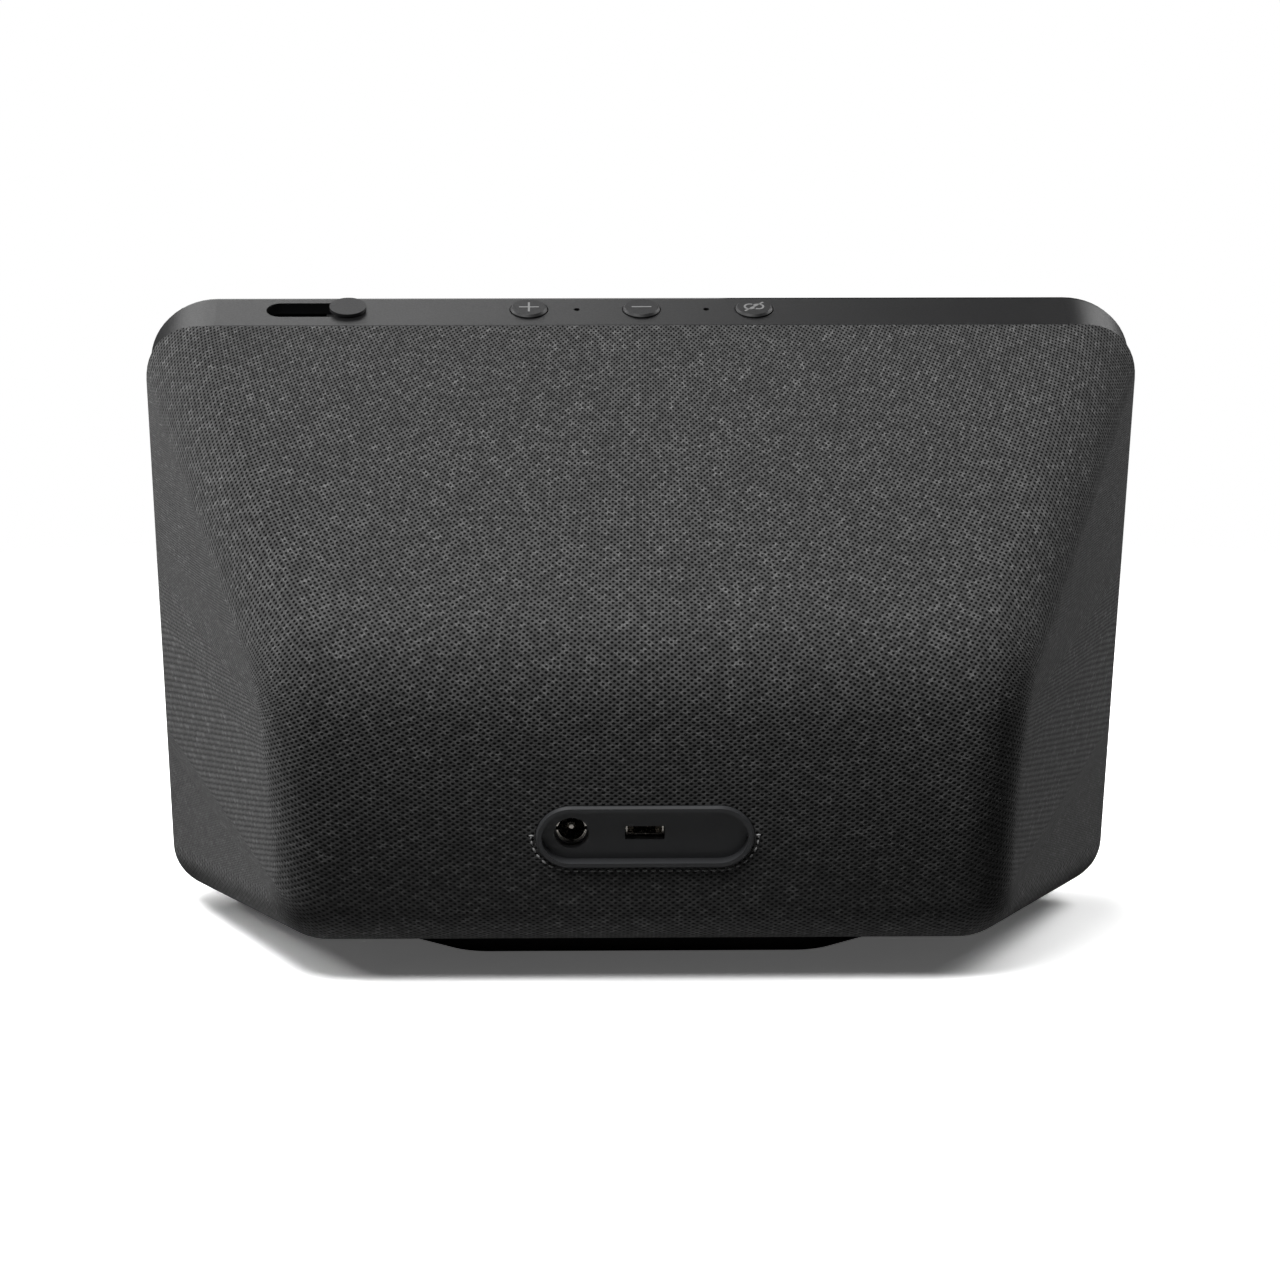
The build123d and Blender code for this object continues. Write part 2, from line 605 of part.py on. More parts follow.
with BuildPart() as dc_jack_body:
    with BuildSketch(PORT.offset(floor_back)):
        with Locations((JACK_X, 0)):
            Circle(JACK_NOSE_R)
    extrude(amount=-JACK_LENGTH)
    with BuildSketch(PORT.offset(-bezel_back)):
        with Locations((JACK_X, 0)):
            Rectangle(*JACK_BODY)
    extrude(amount=bezel_back + floor_back - JACK_LENGTH)
    with BuildSketch(PORT.offset(floor_back)):
        with Locations((JACK_X, 0)):
            Circle(JACK_BORE_R)
    extrude(amount=-JACK_BORE, mode=Mode.SUBTRACT)
    with BuildSketch(PORT.offset(floor_back - JACK_BORE)):
        with Locations((JACK_X, 0)):
            Circle(PIN_ROOT_R)
    extrude(amount=JACK_BORE - JACK_LENGTH, mode=Mode.SUBTRACT)
dc_jack_body.part.label = "dc_jack_body"
export_step(dc_jack_body.part, "parts/dc_jack_body.step")

with BuildPart() as dc_jack_pin:
    with BuildSketch(PORT.offset(floor_back - JACK_BORE + CLEAR)):
        with Locations((JACK_X, 0)):
            Circle(PIN_R)
    extrude(amount=PIN_LENGTH - CLEAR)
    chamfer(dc_jack_pin.faces().sort_by(Axis(PORT.origin, PORT.z_dir))[-1].edges(), EDGE_CHAMFER)
    with BuildSketch(PORT.offset(floor_back - JACK_LENGTH)):
        with Locations((JACK_X, 0)):
            Circle(PIN_ROOT_R)
    extrude(amount=JACK_LENGTH - JACK_BORE + CLEAR)
dc_jack_pin.part.label = "dc_jack_pin"
export_step(dc_jack_pin.part, "parts/dc_jack_pin.step")

with BuildPart() as dc_jack_contacts:
    with BuildSketch(PORT.offset(floor_back - JACK_BORE)):
        with Locations((JACK_X, 0)):
            Circle(JACK_BORE_R)
            Circle(JACK_BORE_R - SPRING, mode=Mode.SUBTRACT)
            Rectangle(PIN_R, JACK_BODY[1], mode=Mode.SUBTRACT)
            Rectangle(JACK_BODY[0], PIN_R, mode=Mode.SUBTRACT)
    extrude(amount=JACK_BORE - SPRING)
dc_jack_contacts.part.label = "dc_jack_contacts"
export_step(dc_jack_contacts.part, "parts/dc_jack_contacts.step")

with BuildPart() as usb_shell:
    with BuildSketch(PORT.offset(floor_back)):
        RectangleRounded(*USB_SHELL, USB_WALL)
    extrude(amount=-USB_LENGTH)
    with BuildSketch(PORT.offset(floor_back)):
        Rectangle(USB_SHELL[0] - 2 * USB_WALL, USB_SHELL[1] - 2 * USB_WALL)
    extrude(amount=USB_WALL - USB_LENGTH, mode=Mode.SUBTRACT)
usb_shell.part.label = "usb_shell"
export_step(usb_shell.part, "parts/usb_shell.step")

with BuildPart() as usb_tongue:
    with BuildSketch(PORT.offset(floor_back + USB_WALL - USB_LENGTH)):
        with Locations((0, TONGUE_LIFT)):
            Rectangle(*TONGUE)
    extrude(amount=TONGUE_LENGTH)
usb_tongue.part.label = "usb_tongue"
export_step(usb_tongue.part, "parts/usb_tongue.step")

with BuildPart() as port_board:
    with BuildSketch(PORT.offset(-bezel_back)):
        with Locations((0, -(USB_SHELL[1] + PORT_BOARD) / 2)):
            Rectangle(PORT_BOARD_LENGTH, PORT_BOARD)
    extrude(amount=bezel_back + floor_back - JACK_LENGTH - PORT_BOARD)
    with BuildSketch(PORT.offset(-bezel_back)):
        with Locations((JACK_X, 0)):
            Rectangle(JACK_BODY[0] + CLEAR, JACK_BODY[1])
    extrude(amount=bezel_back + floor_back - JACK_LENGTH, mode=Mode.SUBTRACT)
port_board.part.label = "port_board"
export_step(port_board.part, "parts/port_board.step")

with BuildPart() as port_pocket:
    with BuildSketch(PORT.offset(-bezel_back)):
        RectangleRounded(POCKET_SIZE[0], POCKET_SIZE[1], 2 * POCKET_WALL)
    extrude(amount=-POCKET_DEEP)
    with BuildSketch(PORT.offset(-bezel_back)):
        RectangleRounded(
            POCKET_SIZE[0] - 2 * POCKET_WALL, POCKET_SIZE[1] - 2 * POCKET_WALL, POCKET_WALL
        )
    extrude(amount=POCKET_WALL - POCKET_DEEP, mode=Mode.SUBTRACT)
port_pocket.part.label = "port_pocket"
export_step(port_pocket.part, "parts/port_pocket.step")

# ---- main board and what it carries ----------------------------------------------------------------
CAN_HEIGHT = 1.8
SPREADER = 1.0
CANS = [(-34.0, 18.0, 40.0, 30.0), (14.0, 18.0, 44.0, 34.0), (-30.0, -18.0, 46.0, 26.0)]
FLEX = 0.3
FLEX_WIDTH = 18.0
FLEX_FOLD = 6.0
FLEX_X = 38.0
board_front = chassis_back + STANDOFF
board_back = board_front + BOARD
board_low = BOARD_UP - BOARD_SIZE[1] / 2

with BuildPart() as main_board:
    with BuildSketch(behind(board_back)):
        with Locations((0, BOARD_UP)):
            RectangleRounded(*BOARD_SIZE, SMALL_HEAD_R)
    extrude(amount=BOARD)
main_board.part.label = "main_board"
export_step(main_board.part, "parts/main_board.step")

with BuildPart() as shield_cans:
    for x, y, length, width in CANS:
        with BuildSketch(behind(board_back)):
            with Locations((x, BOARD_UP + y)):
                RectangleRounded(length, width, SMALL_SCREW_R)
        extrude(amount=-CAN_HEIGHT)
shield_cans.part.label = "shield_cans"
export_step(shield_cans.part, "parts/shield_cans.step")

with BuildPart() as heat_spreader:
    with BuildSketch(behind(board_back + CAN_HEIGHT)):
        with Locations((0, BOARD_UP)):
            RectangleRounded(BOARD_SIZE[0] - 2 * BOSS_R, BOARD_SIZE[1] - 2 * BOSS_R, BOSS_R)
    extrude(amount=-SPREADER)
heat_spreader.part.label = "heat_spreader"
export_step(heat_spreader.part, "parts/heat_spreader.step")

with BuildPart() as display_flex:
    with BuildSketch(behind(board_back + FLEX)):
        with Locations((FLEX_X, board_low - CLEAR - FLEX / 2)):
            Rectangle(FLEX_WIDTH, FLEX)
    extrude(amount=board_back + FLEX - chassis_back)
    with BuildSketch(behind(board_back + FLEX)):
        with Locations((FLEX_X, board_low - CLEAR - FLEX + FLEX_FOLD / 2)):
            Rectangle(FLEX_WIDTH, FLEX_FOLD)
    extrude(amount=FLEX)
display_flex.part.label = "display_flex"
export_step(display_flex.part, "parts/display_flex.step")

ANTENNA_LENGTH = 30.0
ANTENNA = 0.8
with BuildPart() as wifi_antennas:
    for side in SIDES.values():
        with BuildSketch(behind(-HOUSING_FLANGE - CLEAR)):
            with Locations((side * (WIDTH / 2 - HOUSING_WALL - ANTENNA / 2), mid_up)):
                Rectangle(ANTENNA, ANTENNA_LENGTH)
        extrude(amount=boss_length)
wifi_antennas.part.label = "wifi_antennas"
export_step(wifi_antennas.part, "parts/wifi_antennas.step")

# ---- button board, switches and microphones: heights are up or down from the housing's top edge -----
SWITCH_SIZE = (5.2, 5.2)
MIC_SIZE = (3.5, 2.7)
MIC_BODY = 1.0
GASKET_R = 1.6
GASKET_BORE_R = 0.6
BUTTON_BOARD = 1.0
BUTTON_BOARD_WIDE = 6.4
board_seat = chassis_top + BOARD_SHELF - SCREEN_LENGTH
board_top = board_seat + BUTTON_BOARD
wall_inside = -HOUSING_WALL
flange_top = wall_inside - CLEAR / 2
nub_bottom = flange_top - BUTTON_FLANGE - NUB
switch_top = nub_bottom - BUTTON_TRAVEL - CLEAR / 2

with BuildPart() as button_board:
    with BuildSketch(TOP.offset(board_seat)):
        RectangleRounded(2 * BUTTON_PITCH + 4 * BUTTON_R, BUTTON_BOARD_WIDE, SMALL_SCREW_R)
    extrude(amount=BUTTON_BOARD)
button_board.part.label = "button_board"
export_step(button_board.part, "parts/button_board.step")

with BuildPart() as tact_switches:
    with BuildSketch(TOP.offset(board_top)):
        with Locations(*button_places):
            Rectangle(*SWITCH_SIZE)
    extrude(amount=switch_top - board_top)
tact_switches.part.label = "tact_switches"
export_step(tact_switches.part, "parts/tact_switches.step")

with BuildPart() as microphones:
    with BuildSketch(TOP.offset(board_top)):
        with Locations(*mic_places):
            Rectangle(*MIC_SIZE)
    extrude(amount=MIC_BODY)
microphones.part.label = "microphones"
export_step(microphones.part, "parts/microphones.step")

with BuildPart() as mic_gaskets:
    with BuildSketch(TOP.offset(board_top + MIC_BODY)):
        with Locations(*mic_places):
            Circle(GASKET_R)
            Circle(GASKET_BORE_R, mode=Mode.SUBTRACT)
    extrude(amount=wall_inside - board_top - MIC_BODY)
mic_gaskets.part.label = "mic_gaskets"
export_step(mic_gaskets.part, "parts/mic_gaskets.step")

# ---- the three push buttons ------------------------------------------------------------------------
BUTTON_NAMES = ("volume_up_button", "volume_down_button", "mute_button")
for name, place in zip(BUTTON_NAMES, button_places):
    with BuildPart() as button:
        with BuildSketch(TOP.offset(flange_top - BUTTON_FLANGE)):
            with Locations(place):
                Circle(BUTTON_R)
        extrude(amount=BUTTON_PROUD + BUTTON_FLANGE - flange_top)
        chamfer(button.faces().sort_by(Axis(TOP.origin, TOP.z_dir))[-1].edges(), EDGE_CHAMFER)
        with BuildSketch(TOP.offset(flange_top - BUTTON_FLANGE)):
            with Locations(place):
                Circle(BUTTON_FLANGE_R)
        extrude(amount=BUTTON_FLANGE)
        with BuildSketch(TOP.offset(nub_bottom)):
            with Locations(place):
                Circle(NUB_R)
        extrude(amount=NUB)
    button.part.label = name
    export_step(button.part, f"parts/{name}.step")

# ---- camera and its sliding shutter ----------------------------------------------------------------
CAMERA = 5.0
CAMERA_LENS_R = 1.6
CAMERA_LENS = 0.5
BLADE = 0.4
BLADE_WIDE = 9.0
BLADE_GAP = 0.4            # between the glass and the blade
CARRIAGE = 1.6
CARRIAGE_BACK = 4.0        # behind the control line
GUIDE = 0.7
GUIDE_POST = 2.0
blade_front = glass_back + BLADE_GAP
camera_front = blade_front + BLADE + CLEAR
control_depth = CONTROL_LINE - HOUSING_DEPTH
carriage_top = wall_inside - CLEAR
carriage_low = carriage_top - CARRIAGE
guide_low = carriage_low - CLEAR / 2 - GUIDE
camera_low = chassis_top
blade_drop = SCREEN_LENGTH + carriage_top - camera_low

with BuildPart() as camera_module:
    with BuildSketch(behind(camera_front + CAMERA_LENS + CAMERA)):
        with Locations((CAMERA_X, camera_low + CAMERA / 2)):
            Rectangle(CAMERA, CAMERA)
    extrude(amount=CAMERA)
camera_module.part.label = "camera_module"
export_step(camera_module.part, "parts/camera_module.step")

with BuildPart() as camera_lens:
    with BuildSketch(behind(camera_front + CAMERA_LENS)):
        with Locations((CAMERA_X, camera_low + CAMERA / 2)):
            Circle(CAMERA_LENS_R)
    extrude(amount=CAMERA_LENS)
camera_lens.part.label = "camera_lens"
export_step(camera_lens.part, "parts/camera_lens.step")

with BuildPart() as shutter_slider:
    with BuildSketch(TOP.offset(carriage_low)):
        with Locations((slider_x, (blade_front + BLADE - control_depth + CARRIAGE_BACK) / 2)):
            Rectangle(BLADE_WIDE, CARRIAGE_BACK - (blade_front + BLADE - control_depth))
    extrude(amount=CARRIAGE)
    with BuildSketch(TOP.offset(carriage_low)):
        with Locations((slider_x, 0)):
            Circle(SLIDER_STEM_R)
    extrude(amount=SLIDER_PROUD - carriage_low)
    with BuildSketch(TOP.offset(CLEAR)):
        with Locations((slider_x, 0)):
            Circle(SLIDER_CAP_R)
    extrude(amount=SLIDER_PROUD - CLEAR)
shutter_slider.part.label = "shutter_slider"
export_step(shutter_slider.part, "parts/shutter_slider.step")

with BuildPart() as shutter_blade:
    with BuildSketch(behind(blade_front + BLADE)):
        with Locations((slider_x, camera_low + blade_drop / 2)):
            Rectangle(BLADE_WIDE, blade_drop)
    extrude(amount=BLADE)
shutter_blade.part.label = "shutter_blade"
export_step(shutter_blade.part, "parts/shutter_blade.step")

guide_inside = SLIDER_TRAVEL + BLADE_WIDE + 2 * SLIDE_CLEAR
guide_front = camera_front - control_depth
with BuildPart() as shutter_guide:
    with BuildSketch(TOP.offset(guide_low)):
        with Locations((slot_x, (guide_front + CARRIAGE_BACK) / 2)):
            Rectangle(guide_inside + 2 * GUIDE_POST, CARRIAGE_BACK - guide_front)
    extrude(amount=wall_inside - guide_low)
    with BuildSketch(TOP.offset(guide_low + GUIDE)):
        with Locations((slot_x, 0)):
            Rectangle(guide_inside, 4 * CARRIAGE_BACK)
    extrude(amount=HOUSING_WALL - guide_low, mode=Mode.SUBTRACT)
shutter_guide.part.label = "shutter_guide"
export_step(shutter_guide.part, "parts/shutter_guide.step")

# ---- the two drivers: radii and heights in the seat's own frame, z outwards from the seat -----------
CONE_EDGE_R = 16.6
CONE_LIP = 1.4
SHEET = 0.4                # paper, rubber and spider are all about this thick
CONE_LIP_TOP = -1.0
ROLL_OUT_R = 20.8
SURROUND_R = 22.2
FORMER_R = 7.3
FORMER = 0.5
NECK_TOP = -7.4
COIL_LOW = -19.0
SPIDER_R = 17.2
SPIDER_TOP = -10.0
MAGNET_TOP = -14.2
BASKET = 1.6
TOP_PLATE = 3.0
TOP_PLATE_R = 17.0
MAGNET = 7.0
MAGNET_R = 18.0
MAGNET_BORE_R = 9.4
YOKE = 3.0
YOKE_R = 17.0
POLE_R = 6.8
GAP_R = 8.3
DOME_R = 8.8
DOME_RISE = 2.2
basket_floor = MAGNET_TOP + BASKET
spider_low = SPIDER_TOP - SHEET
former_out = FORMER_R + FORMER
plate_low = MAGNET_TOP - TOP_PLATE
magnet_low = plate_low - MAGNET

basket_outline = [
    (DRIVER_OPEN_R, 0),
    (DRIVER_OPEN_R, CONE_LIP_TOP),
    (ROLL_OUT_R - CLEAR, CONE_LIP_TOP),
    (SPIDER_R + CLEAR, spider_low),
    (SPIDER_R - 2 * BASKET, spider_low),
    (SPIDER_R - 2 * BASKET, basket_floor),
    (GAP_R + CLEAR, basket_floor),
    (GAP_R + CLEAR, MAGNET_TOP),
    (MAGNET_R, MAGNET_TOP),
    (MAGNET_R, basket_floor),
    (DRIVER_OPEN_R, -DRIVER_FLANGE),
    (DRIVER_R, -DRIVER_FLANGE),
    (DRIVER_R, 0),
]
cone_outline = [
    (CONE_EDGE_R, CONE_LIP_TOP),
    (CONE_EDGE_R - CONE_LIP, CONE_LIP_TOP),
    (former_out, NECK_TOP),
    (former_out, NECK_TOP - SHEET),
    (CONE_EDGE_R - CONE_LIP, CONE_LIP_TOP - SHEET),
    (CONE_EDGE_R, CONE_LIP_TOP - SHEET),
]


def driver_section(side):
    """The half-section plane of a driver: x outwards from its axis and y out of the object."""
    seat = driver_plane(side).offset(-SEAT_RISE)
    return Plane(origin=seat.origin, x_dir=seat.x_dir, z_dir=-seat.y_dir)


def driver_axis(side):
    """A driver's axis, pointing out of the object."""
    seat = driver_plane(side)
    return Axis(seat.origin, seat.z_dir)


for name, side in SIDES.items():
    section = driver_section(side)
    axis = driver_axis(side)
    seat = driver_plane(side).offset(-SEAT_RISE)

    with BuildPart() as frame:
        with BuildSketch(section):
            Polygon(*basket_outline, align=None)
        revolve(axis=axis)
        with BuildSketch(seat.offset(-DRIVER_FLANGE)):
            with PolarLocations(DRIVER_SCREW_R, DRIVER_SCREWS, DRIVER_SCREW_TURN):
                Circle(SMALL_SCREW_R + CLEAR)
        extrude(amount=DRIVER_FLANGE, mode=Mode.SUBTRACT)
    frame.part.label = f"{name}_driver_frame"
    export_step(frame.part, f"parts/{name}_driver_frame.step")

    with BuildPart() as surround:
        with BuildSketch(section):
            roll_middle = (ROLL_OUT_R + CONE_EDGE_R) / 2
            roll_r = (ROLL_OUT_R - CONE_EDGE_R) / 2
            with Locations((roll_middle, CONE_LIP_TOP)):
                Circle(roll_r)
                Circle(roll_r - SHEET, mode=Mode.SUBTRACT)
                Rectangle(
                    2 * roll_r, roll_r, align=(Align.CENTER, Align.MAX), mode=Mode.SUBTRACT
                )
            with Locations(((ROLL_OUT_R - SHEET + SURROUND_R) / 2, CONE_LIP_TOP + SHEET / 2)):
                Rectangle(SURROUND_R - ROLL_OUT_R + SHEET, SHEET)
            with Locations((CONE_EDGE_R - CONE_LIP / 2 + SHEET / 2, CONE_LIP_TOP + SHEET / 2)):
                Rectangle(CONE_LIP + SHEET, SHEET)
        revolve(axis=axis)
    surround.part.label = f"{name}_surround"
    export_step(surround.part, f"parts/{name}_surround.step")

    with BuildPart() as cone:
        with BuildSketch(section):
            Polygon(*cone_outline, align=None)
        revolve(axis=axis)
    cone.part.label = f"{name}_cone"
    export_step(cone.part, f"parts/{name}_cone.step")

    with BuildPart() as dust_cap:
        dome_low = NECK_TOP + (DOME_R - former_out) + SHEET / 2
        with BuildSketch(section):
            with BuildLine():
                ThreePointArc(
                    (-DOME_R, dome_low), (0, dome_low + DOME_RISE), (DOME_R, dome_low)
                )
                Line((DOME_R, dome_low), (DOME_R - SHEET, dome_low))
                ThreePointArc(
                    (DOME_R - SHEET, dome_low),
                    (0, dome_low + DOME_RISE - SHEET),
                    (SHEET - DOME_R, dome_low),
                )
                Line((SHEET - DOME_R, dome_low), (-DOME_R, dome_low))
            make_face()
            with Locations((-DOME_R, dome_low)):
                Rectangle(2 * DOME_R, 4 * DOME_RISE, mode=Mode.SUBTRACT)
        revolve(axis=axis)
    dust_cap.part.label = f"{name}_dust_cap"
    export_step(dust_cap.part, f"parts/{name}_dust_cap.step")

    with BuildPart() as coil:
        with BuildSketch(seat.offset(COIL_LOW)):
            Circle(former_out)
            Circle(FORMER_R, mode=Mode.SUBTRACT)
        extrude(amount=NECK_TOP - COIL_LOW)
    coil.part.label = f"{name}_voice_coil"
    export_step(coil.part, f"parts/{name}_voice_coil.step")

    with BuildPart() as spider:
        with BuildSketch(seat.offset(spider_low)):
            Circle(SPIDER_R)
            Circle(former_out, mode=Mode.SUBTRACT)
        extrude(amount=SHEET)
    spider.part.label = f"{name}_spider"
    export_step(spider.part, f"parts/{name}_spider.step")

    with BuildPart() as top_plate:
        with BuildSketch(seat.offset(plate_low)):
            Circle(TOP_PLATE_R)
            Circle(GAP_R, mode=Mode.SUBTRACT)
        extrude(amount=TOP_PLATE)
    top_plate.part.label = f"{name}_top_plate"
    export_step(top_plate.part, f"parts/{name}_top_plate.step")

    with BuildPart() as magnet:
        with BuildSketch(seat.offset(magnet_low)):
            Circle(MAGNET_R)
            Circle(MAGNET_BORE_R, mode=Mode.SUBTRACT)
        extrude(amount=MAGNET)
    magnet.part.label = f"{name}_magnet"
    export_step(magnet.part, f"parts/{name}_magnet.step")

    with BuildPart() as yoke:
        with BuildSketch(seat.offset(magnet_low)):
            Circle(YOKE_R)
        extrude(amount=-YOKE)
        with BuildSketch(seat.offset(magnet_low)):
            Circle(POLE_R)
        extrude(amount=MAGNET_TOP - magnet_low)
    yoke.part.label = f"{name}_yoke"
    export_step(yoke.part, f"parts/{name}_yoke.step")

# ---- passive radiator ------------------------------------------------------------------------------
RADIATOR_SEAT = UPPER_BACK.offset(-SEAT_RISE)
RADIATOR_INNER = (78.0, 26.0)
ROLL_IN = (66.0, 14.0)
PISTON_LIP = 2.0
PISTON = 1.6

with BuildPart() as radiator_frame:
    with BuildSketch(RADIATOR_SEAT.offset(-RADIATOR_FRAME)):
        RectangleRounded(*RADIATOR_SIZE, RADIATOR_CORNER)
        RectangleRounded(
            RADIATOR_INNER[0] + 2 * PISTON_LIP,
            RADIATOR_INNER[1] + 2 * PISTON_LIP,
            RADIATOR_CORNER,
            mode=Mode.SUBTRACT,
        )
        with Locations(*radiator_screws):
            Circle(SMALL_SCREW_R + CLEAR, mode=Mode.SUBTRACT)
    extrude(amount=RADIATOR_FRAME)
radiator_frame.part.label = "radiator_frame"
export_step(radiator_frame.part, "parts/radiator_frame.step")

with BuildPart() as radiator_surround:
    with BuildSketch(RADIATOR_SEAT.offset(-RADIATOR_FRAME)):
        RectangleRounded(
            RADIATOR_INNER[0] + 2 * PISTON_LIP, RADIATOR_INNER[1] + 2 * PISTON_LIP, RADIATOR_CORNER
        )
        RectangleRounded(*ROLL_IN, ROLL_IN[1] / 2 - CLEAR, mode=Mode.SUBTRACT)
    extrude(amount=SHEET)
    with BuildSketch(RADIATOR_SEAT.offset(SHEET - RADIATOR_FRAME)):
        RectangleRounded(*RADIATOR_INNER, RADIATOR_CORNER)
        RectangleRounded(
            ROLL_IN[0] + 2 * PISTON_LIP,
            ROLL_IN[1] + 2 * PISTON_LIP,
            ROLL_IN[1] / 2,
            mode=Mode.SUBTRACT,
        )
    extrude(amount=PISTON_LIP)
radiator_surround.part.label = "radiator_surround"
export_step(radiator_surround.part, "parts/radiator_surround.step")

with BuildPart() as radiator_piston:
    with BuildSketch(RADIATOR_SEAT.offset(SHEET - RADIATOR_FRAME)):
        RectangleRounded(
            ROLL_IN[0] + 2 * PISTON_LIP - 2 * CLEAR,
            ROLL_IN[1] + 2 * PISTON_LIP - 2 * CLEAR,
            ROLL_IN[1] / 2,
        )
    extrude(amount=PISTON)
radiator_piston.part.label = "radiator_piston"
export_step(radiator_piston.part, "parts/radiator_piston.step")

with BuildPart() as speaker_screws:
    for side in SIDES.values():
        seat = driver_plane(side).offset(-SEAT_RISE - DRIVER_FLANGE)
        with BuildSketch(seat):
            with PolarLocations(DRIVER_SCREW_R, DRIVER_SCREWS, DRIVER_SCREW_TURN):
                Circle(SMALL_SCREW_R)
        extrude(amount=SMALL_SCREW_LENGTH)
        with BuildSketch(seat):
            with PolarLocations(DRIVER_SCREW_R, DRIVER_SCREWS, DRIVER_SCREW_TURN):
                Circle(SMALL_HEAD_R)
        extrude(amount=-SMALL_HEAD)
    with BuildSketch(RADIATOR_SEAT.offset(-RADIATOR_FRAME)):
        with Locations(*radiator_screws):
            Circle(SMALL_SCREW_R)
    extrude(amount=SMALL_SCREW_LENGTH)
    with BuildSketch(RADIATOR_SEAT.offset(-RADIATOR_FRAME)):
        with Locations(*radiator_screws):
            Circle(SMALL_HEAD_R)
    extrude(amount=-SMALL_HEAD)
speaker_screws.part.label = "speaker_screws"
export_step(speaker_screws.part, "parts/speaker_screws.step")
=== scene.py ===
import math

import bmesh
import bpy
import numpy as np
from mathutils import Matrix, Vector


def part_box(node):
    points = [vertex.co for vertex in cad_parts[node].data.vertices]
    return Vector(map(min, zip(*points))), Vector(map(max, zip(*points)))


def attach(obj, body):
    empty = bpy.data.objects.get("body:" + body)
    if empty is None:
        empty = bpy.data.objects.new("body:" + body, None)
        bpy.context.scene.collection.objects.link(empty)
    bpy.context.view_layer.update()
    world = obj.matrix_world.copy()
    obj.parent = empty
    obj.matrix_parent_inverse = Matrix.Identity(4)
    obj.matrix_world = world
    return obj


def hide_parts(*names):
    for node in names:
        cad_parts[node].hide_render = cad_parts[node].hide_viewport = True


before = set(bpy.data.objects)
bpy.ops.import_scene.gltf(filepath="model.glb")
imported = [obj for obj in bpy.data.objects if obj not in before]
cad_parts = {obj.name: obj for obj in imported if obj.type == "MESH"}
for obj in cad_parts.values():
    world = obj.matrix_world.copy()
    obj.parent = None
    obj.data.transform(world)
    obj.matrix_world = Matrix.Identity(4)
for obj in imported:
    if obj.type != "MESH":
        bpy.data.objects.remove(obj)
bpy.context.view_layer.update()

# %% [markdown]
# # A table-top smart speaker with a touch screen, from behind
# The engineering model is loaded as a fixed frame: every part already stands where it
# belongs, in metres. This lesson dresses it. The knit cover is rebuilt as real cloth, small
# trims are added, and every part gets a finish named for what the real one is made of.

MM = 0.001

# %% [markdown]
# ## Two helpers used everywhere
# Colours are picked as the hex codes that a paint program shows, and Blender mixes light in
# linear values, so one function turns them over. The other adds a node to any tree, with its
# settings, its values and its links in one call.

# %% Colour and node helpers


def srgb(code):
    """Linear red, green, blue and alpha from an sRGB hex code such as "#2b2c2e"."""
    parts = [int(code[i:i + 2], 16) / 255 for i in (1, 3, 5)]
    return (*(v / 12.92 if v <= 0.04045 else ((v + 0.055) / 1.055) ** 2.4 for v in parts), 1)


def add(tree, kind, inputs=None, **settings):
    """Adds one node. Inputs are values, or other nodes' outputs, by name or place."""
    node = tree.nodes.new(kind)
    for key, value in settings.items():
        setattr(node, key, value)
    for key, value in (inputs or {}).items():
        if isinstance(value, bpy.types.NodeSocket):
            tree.links.new(value, node.inputs[key])
        else:
            node.inputs[key].default_value = value
    return node


def new_finish(name, **shader):
    """A material with its tree, shader and surface output; values go on the shader itself."""
    finish = bpy.data.materials.new(name)
    finish.use_nodes = True
    finish.node_tree.nodes.clear()
    surface = add(finish.node_tree, "ShaderNodeBsdfPrincipled", {})
    for key, value in shader.items():
        surface.inputs[key.replace("_", " ")].default_value = value
    add(finish.node_tree, "ShaderNodeOutputMaterial", {"Surface": surface.outputs[0]})
    return finish, finish.node_tree, surface


print("helpers ready; mid grey #808080 is", [round(v, 3) for v in srgb("#808080")])

# %% [markdown]
# ## The camera
# The object is looked at from behind, a little above, from about a metre away with a long
# lens, so its edges stay nearly parallel. The camera is aimed with a tracking rotation, which
# keeps it level, rather than with angles typed in by hand.

# %% Camera
EYE = Vector((16.9, 899.7, 233.3)) * MM
AIM = Vector((0.2, 0.0, 64.6)) * MM
camera_data = bpy.data.cameras.new("studio_camera")
camera_data.lens = 124.6
camera_data.sensor_width = 36.0
camera = bpy.data.objects.new("studio_camera", camera_data)
camera.location = EYE
camera.rotation_mode = "QUATERNION"
camera.rotation_quaternion = (AIM - EYE).to_track_quat("-Z", "Y")
bpy.context.scene.collection.objects.link(camera)
bpy.context.scene.camera = camera
print("camera stands", round((AIM - EYE).length, 3), "m from its aim")

# %% [markdown]
# ## Floor, lights and backdrop
# A product table is a sheet of white card lit until it washes out, so the object stands on
# plain white with a soft shadow. One large softbox overhead lights the upper back, and a
# second beyond the screen gives the top edge its long soft gleam. Two small ones pick out the
# sides, and the left one is gridded, which its narrow spread stands for. Nothing shines from
# below the camera's height, so the belly under the overhang stays deep.

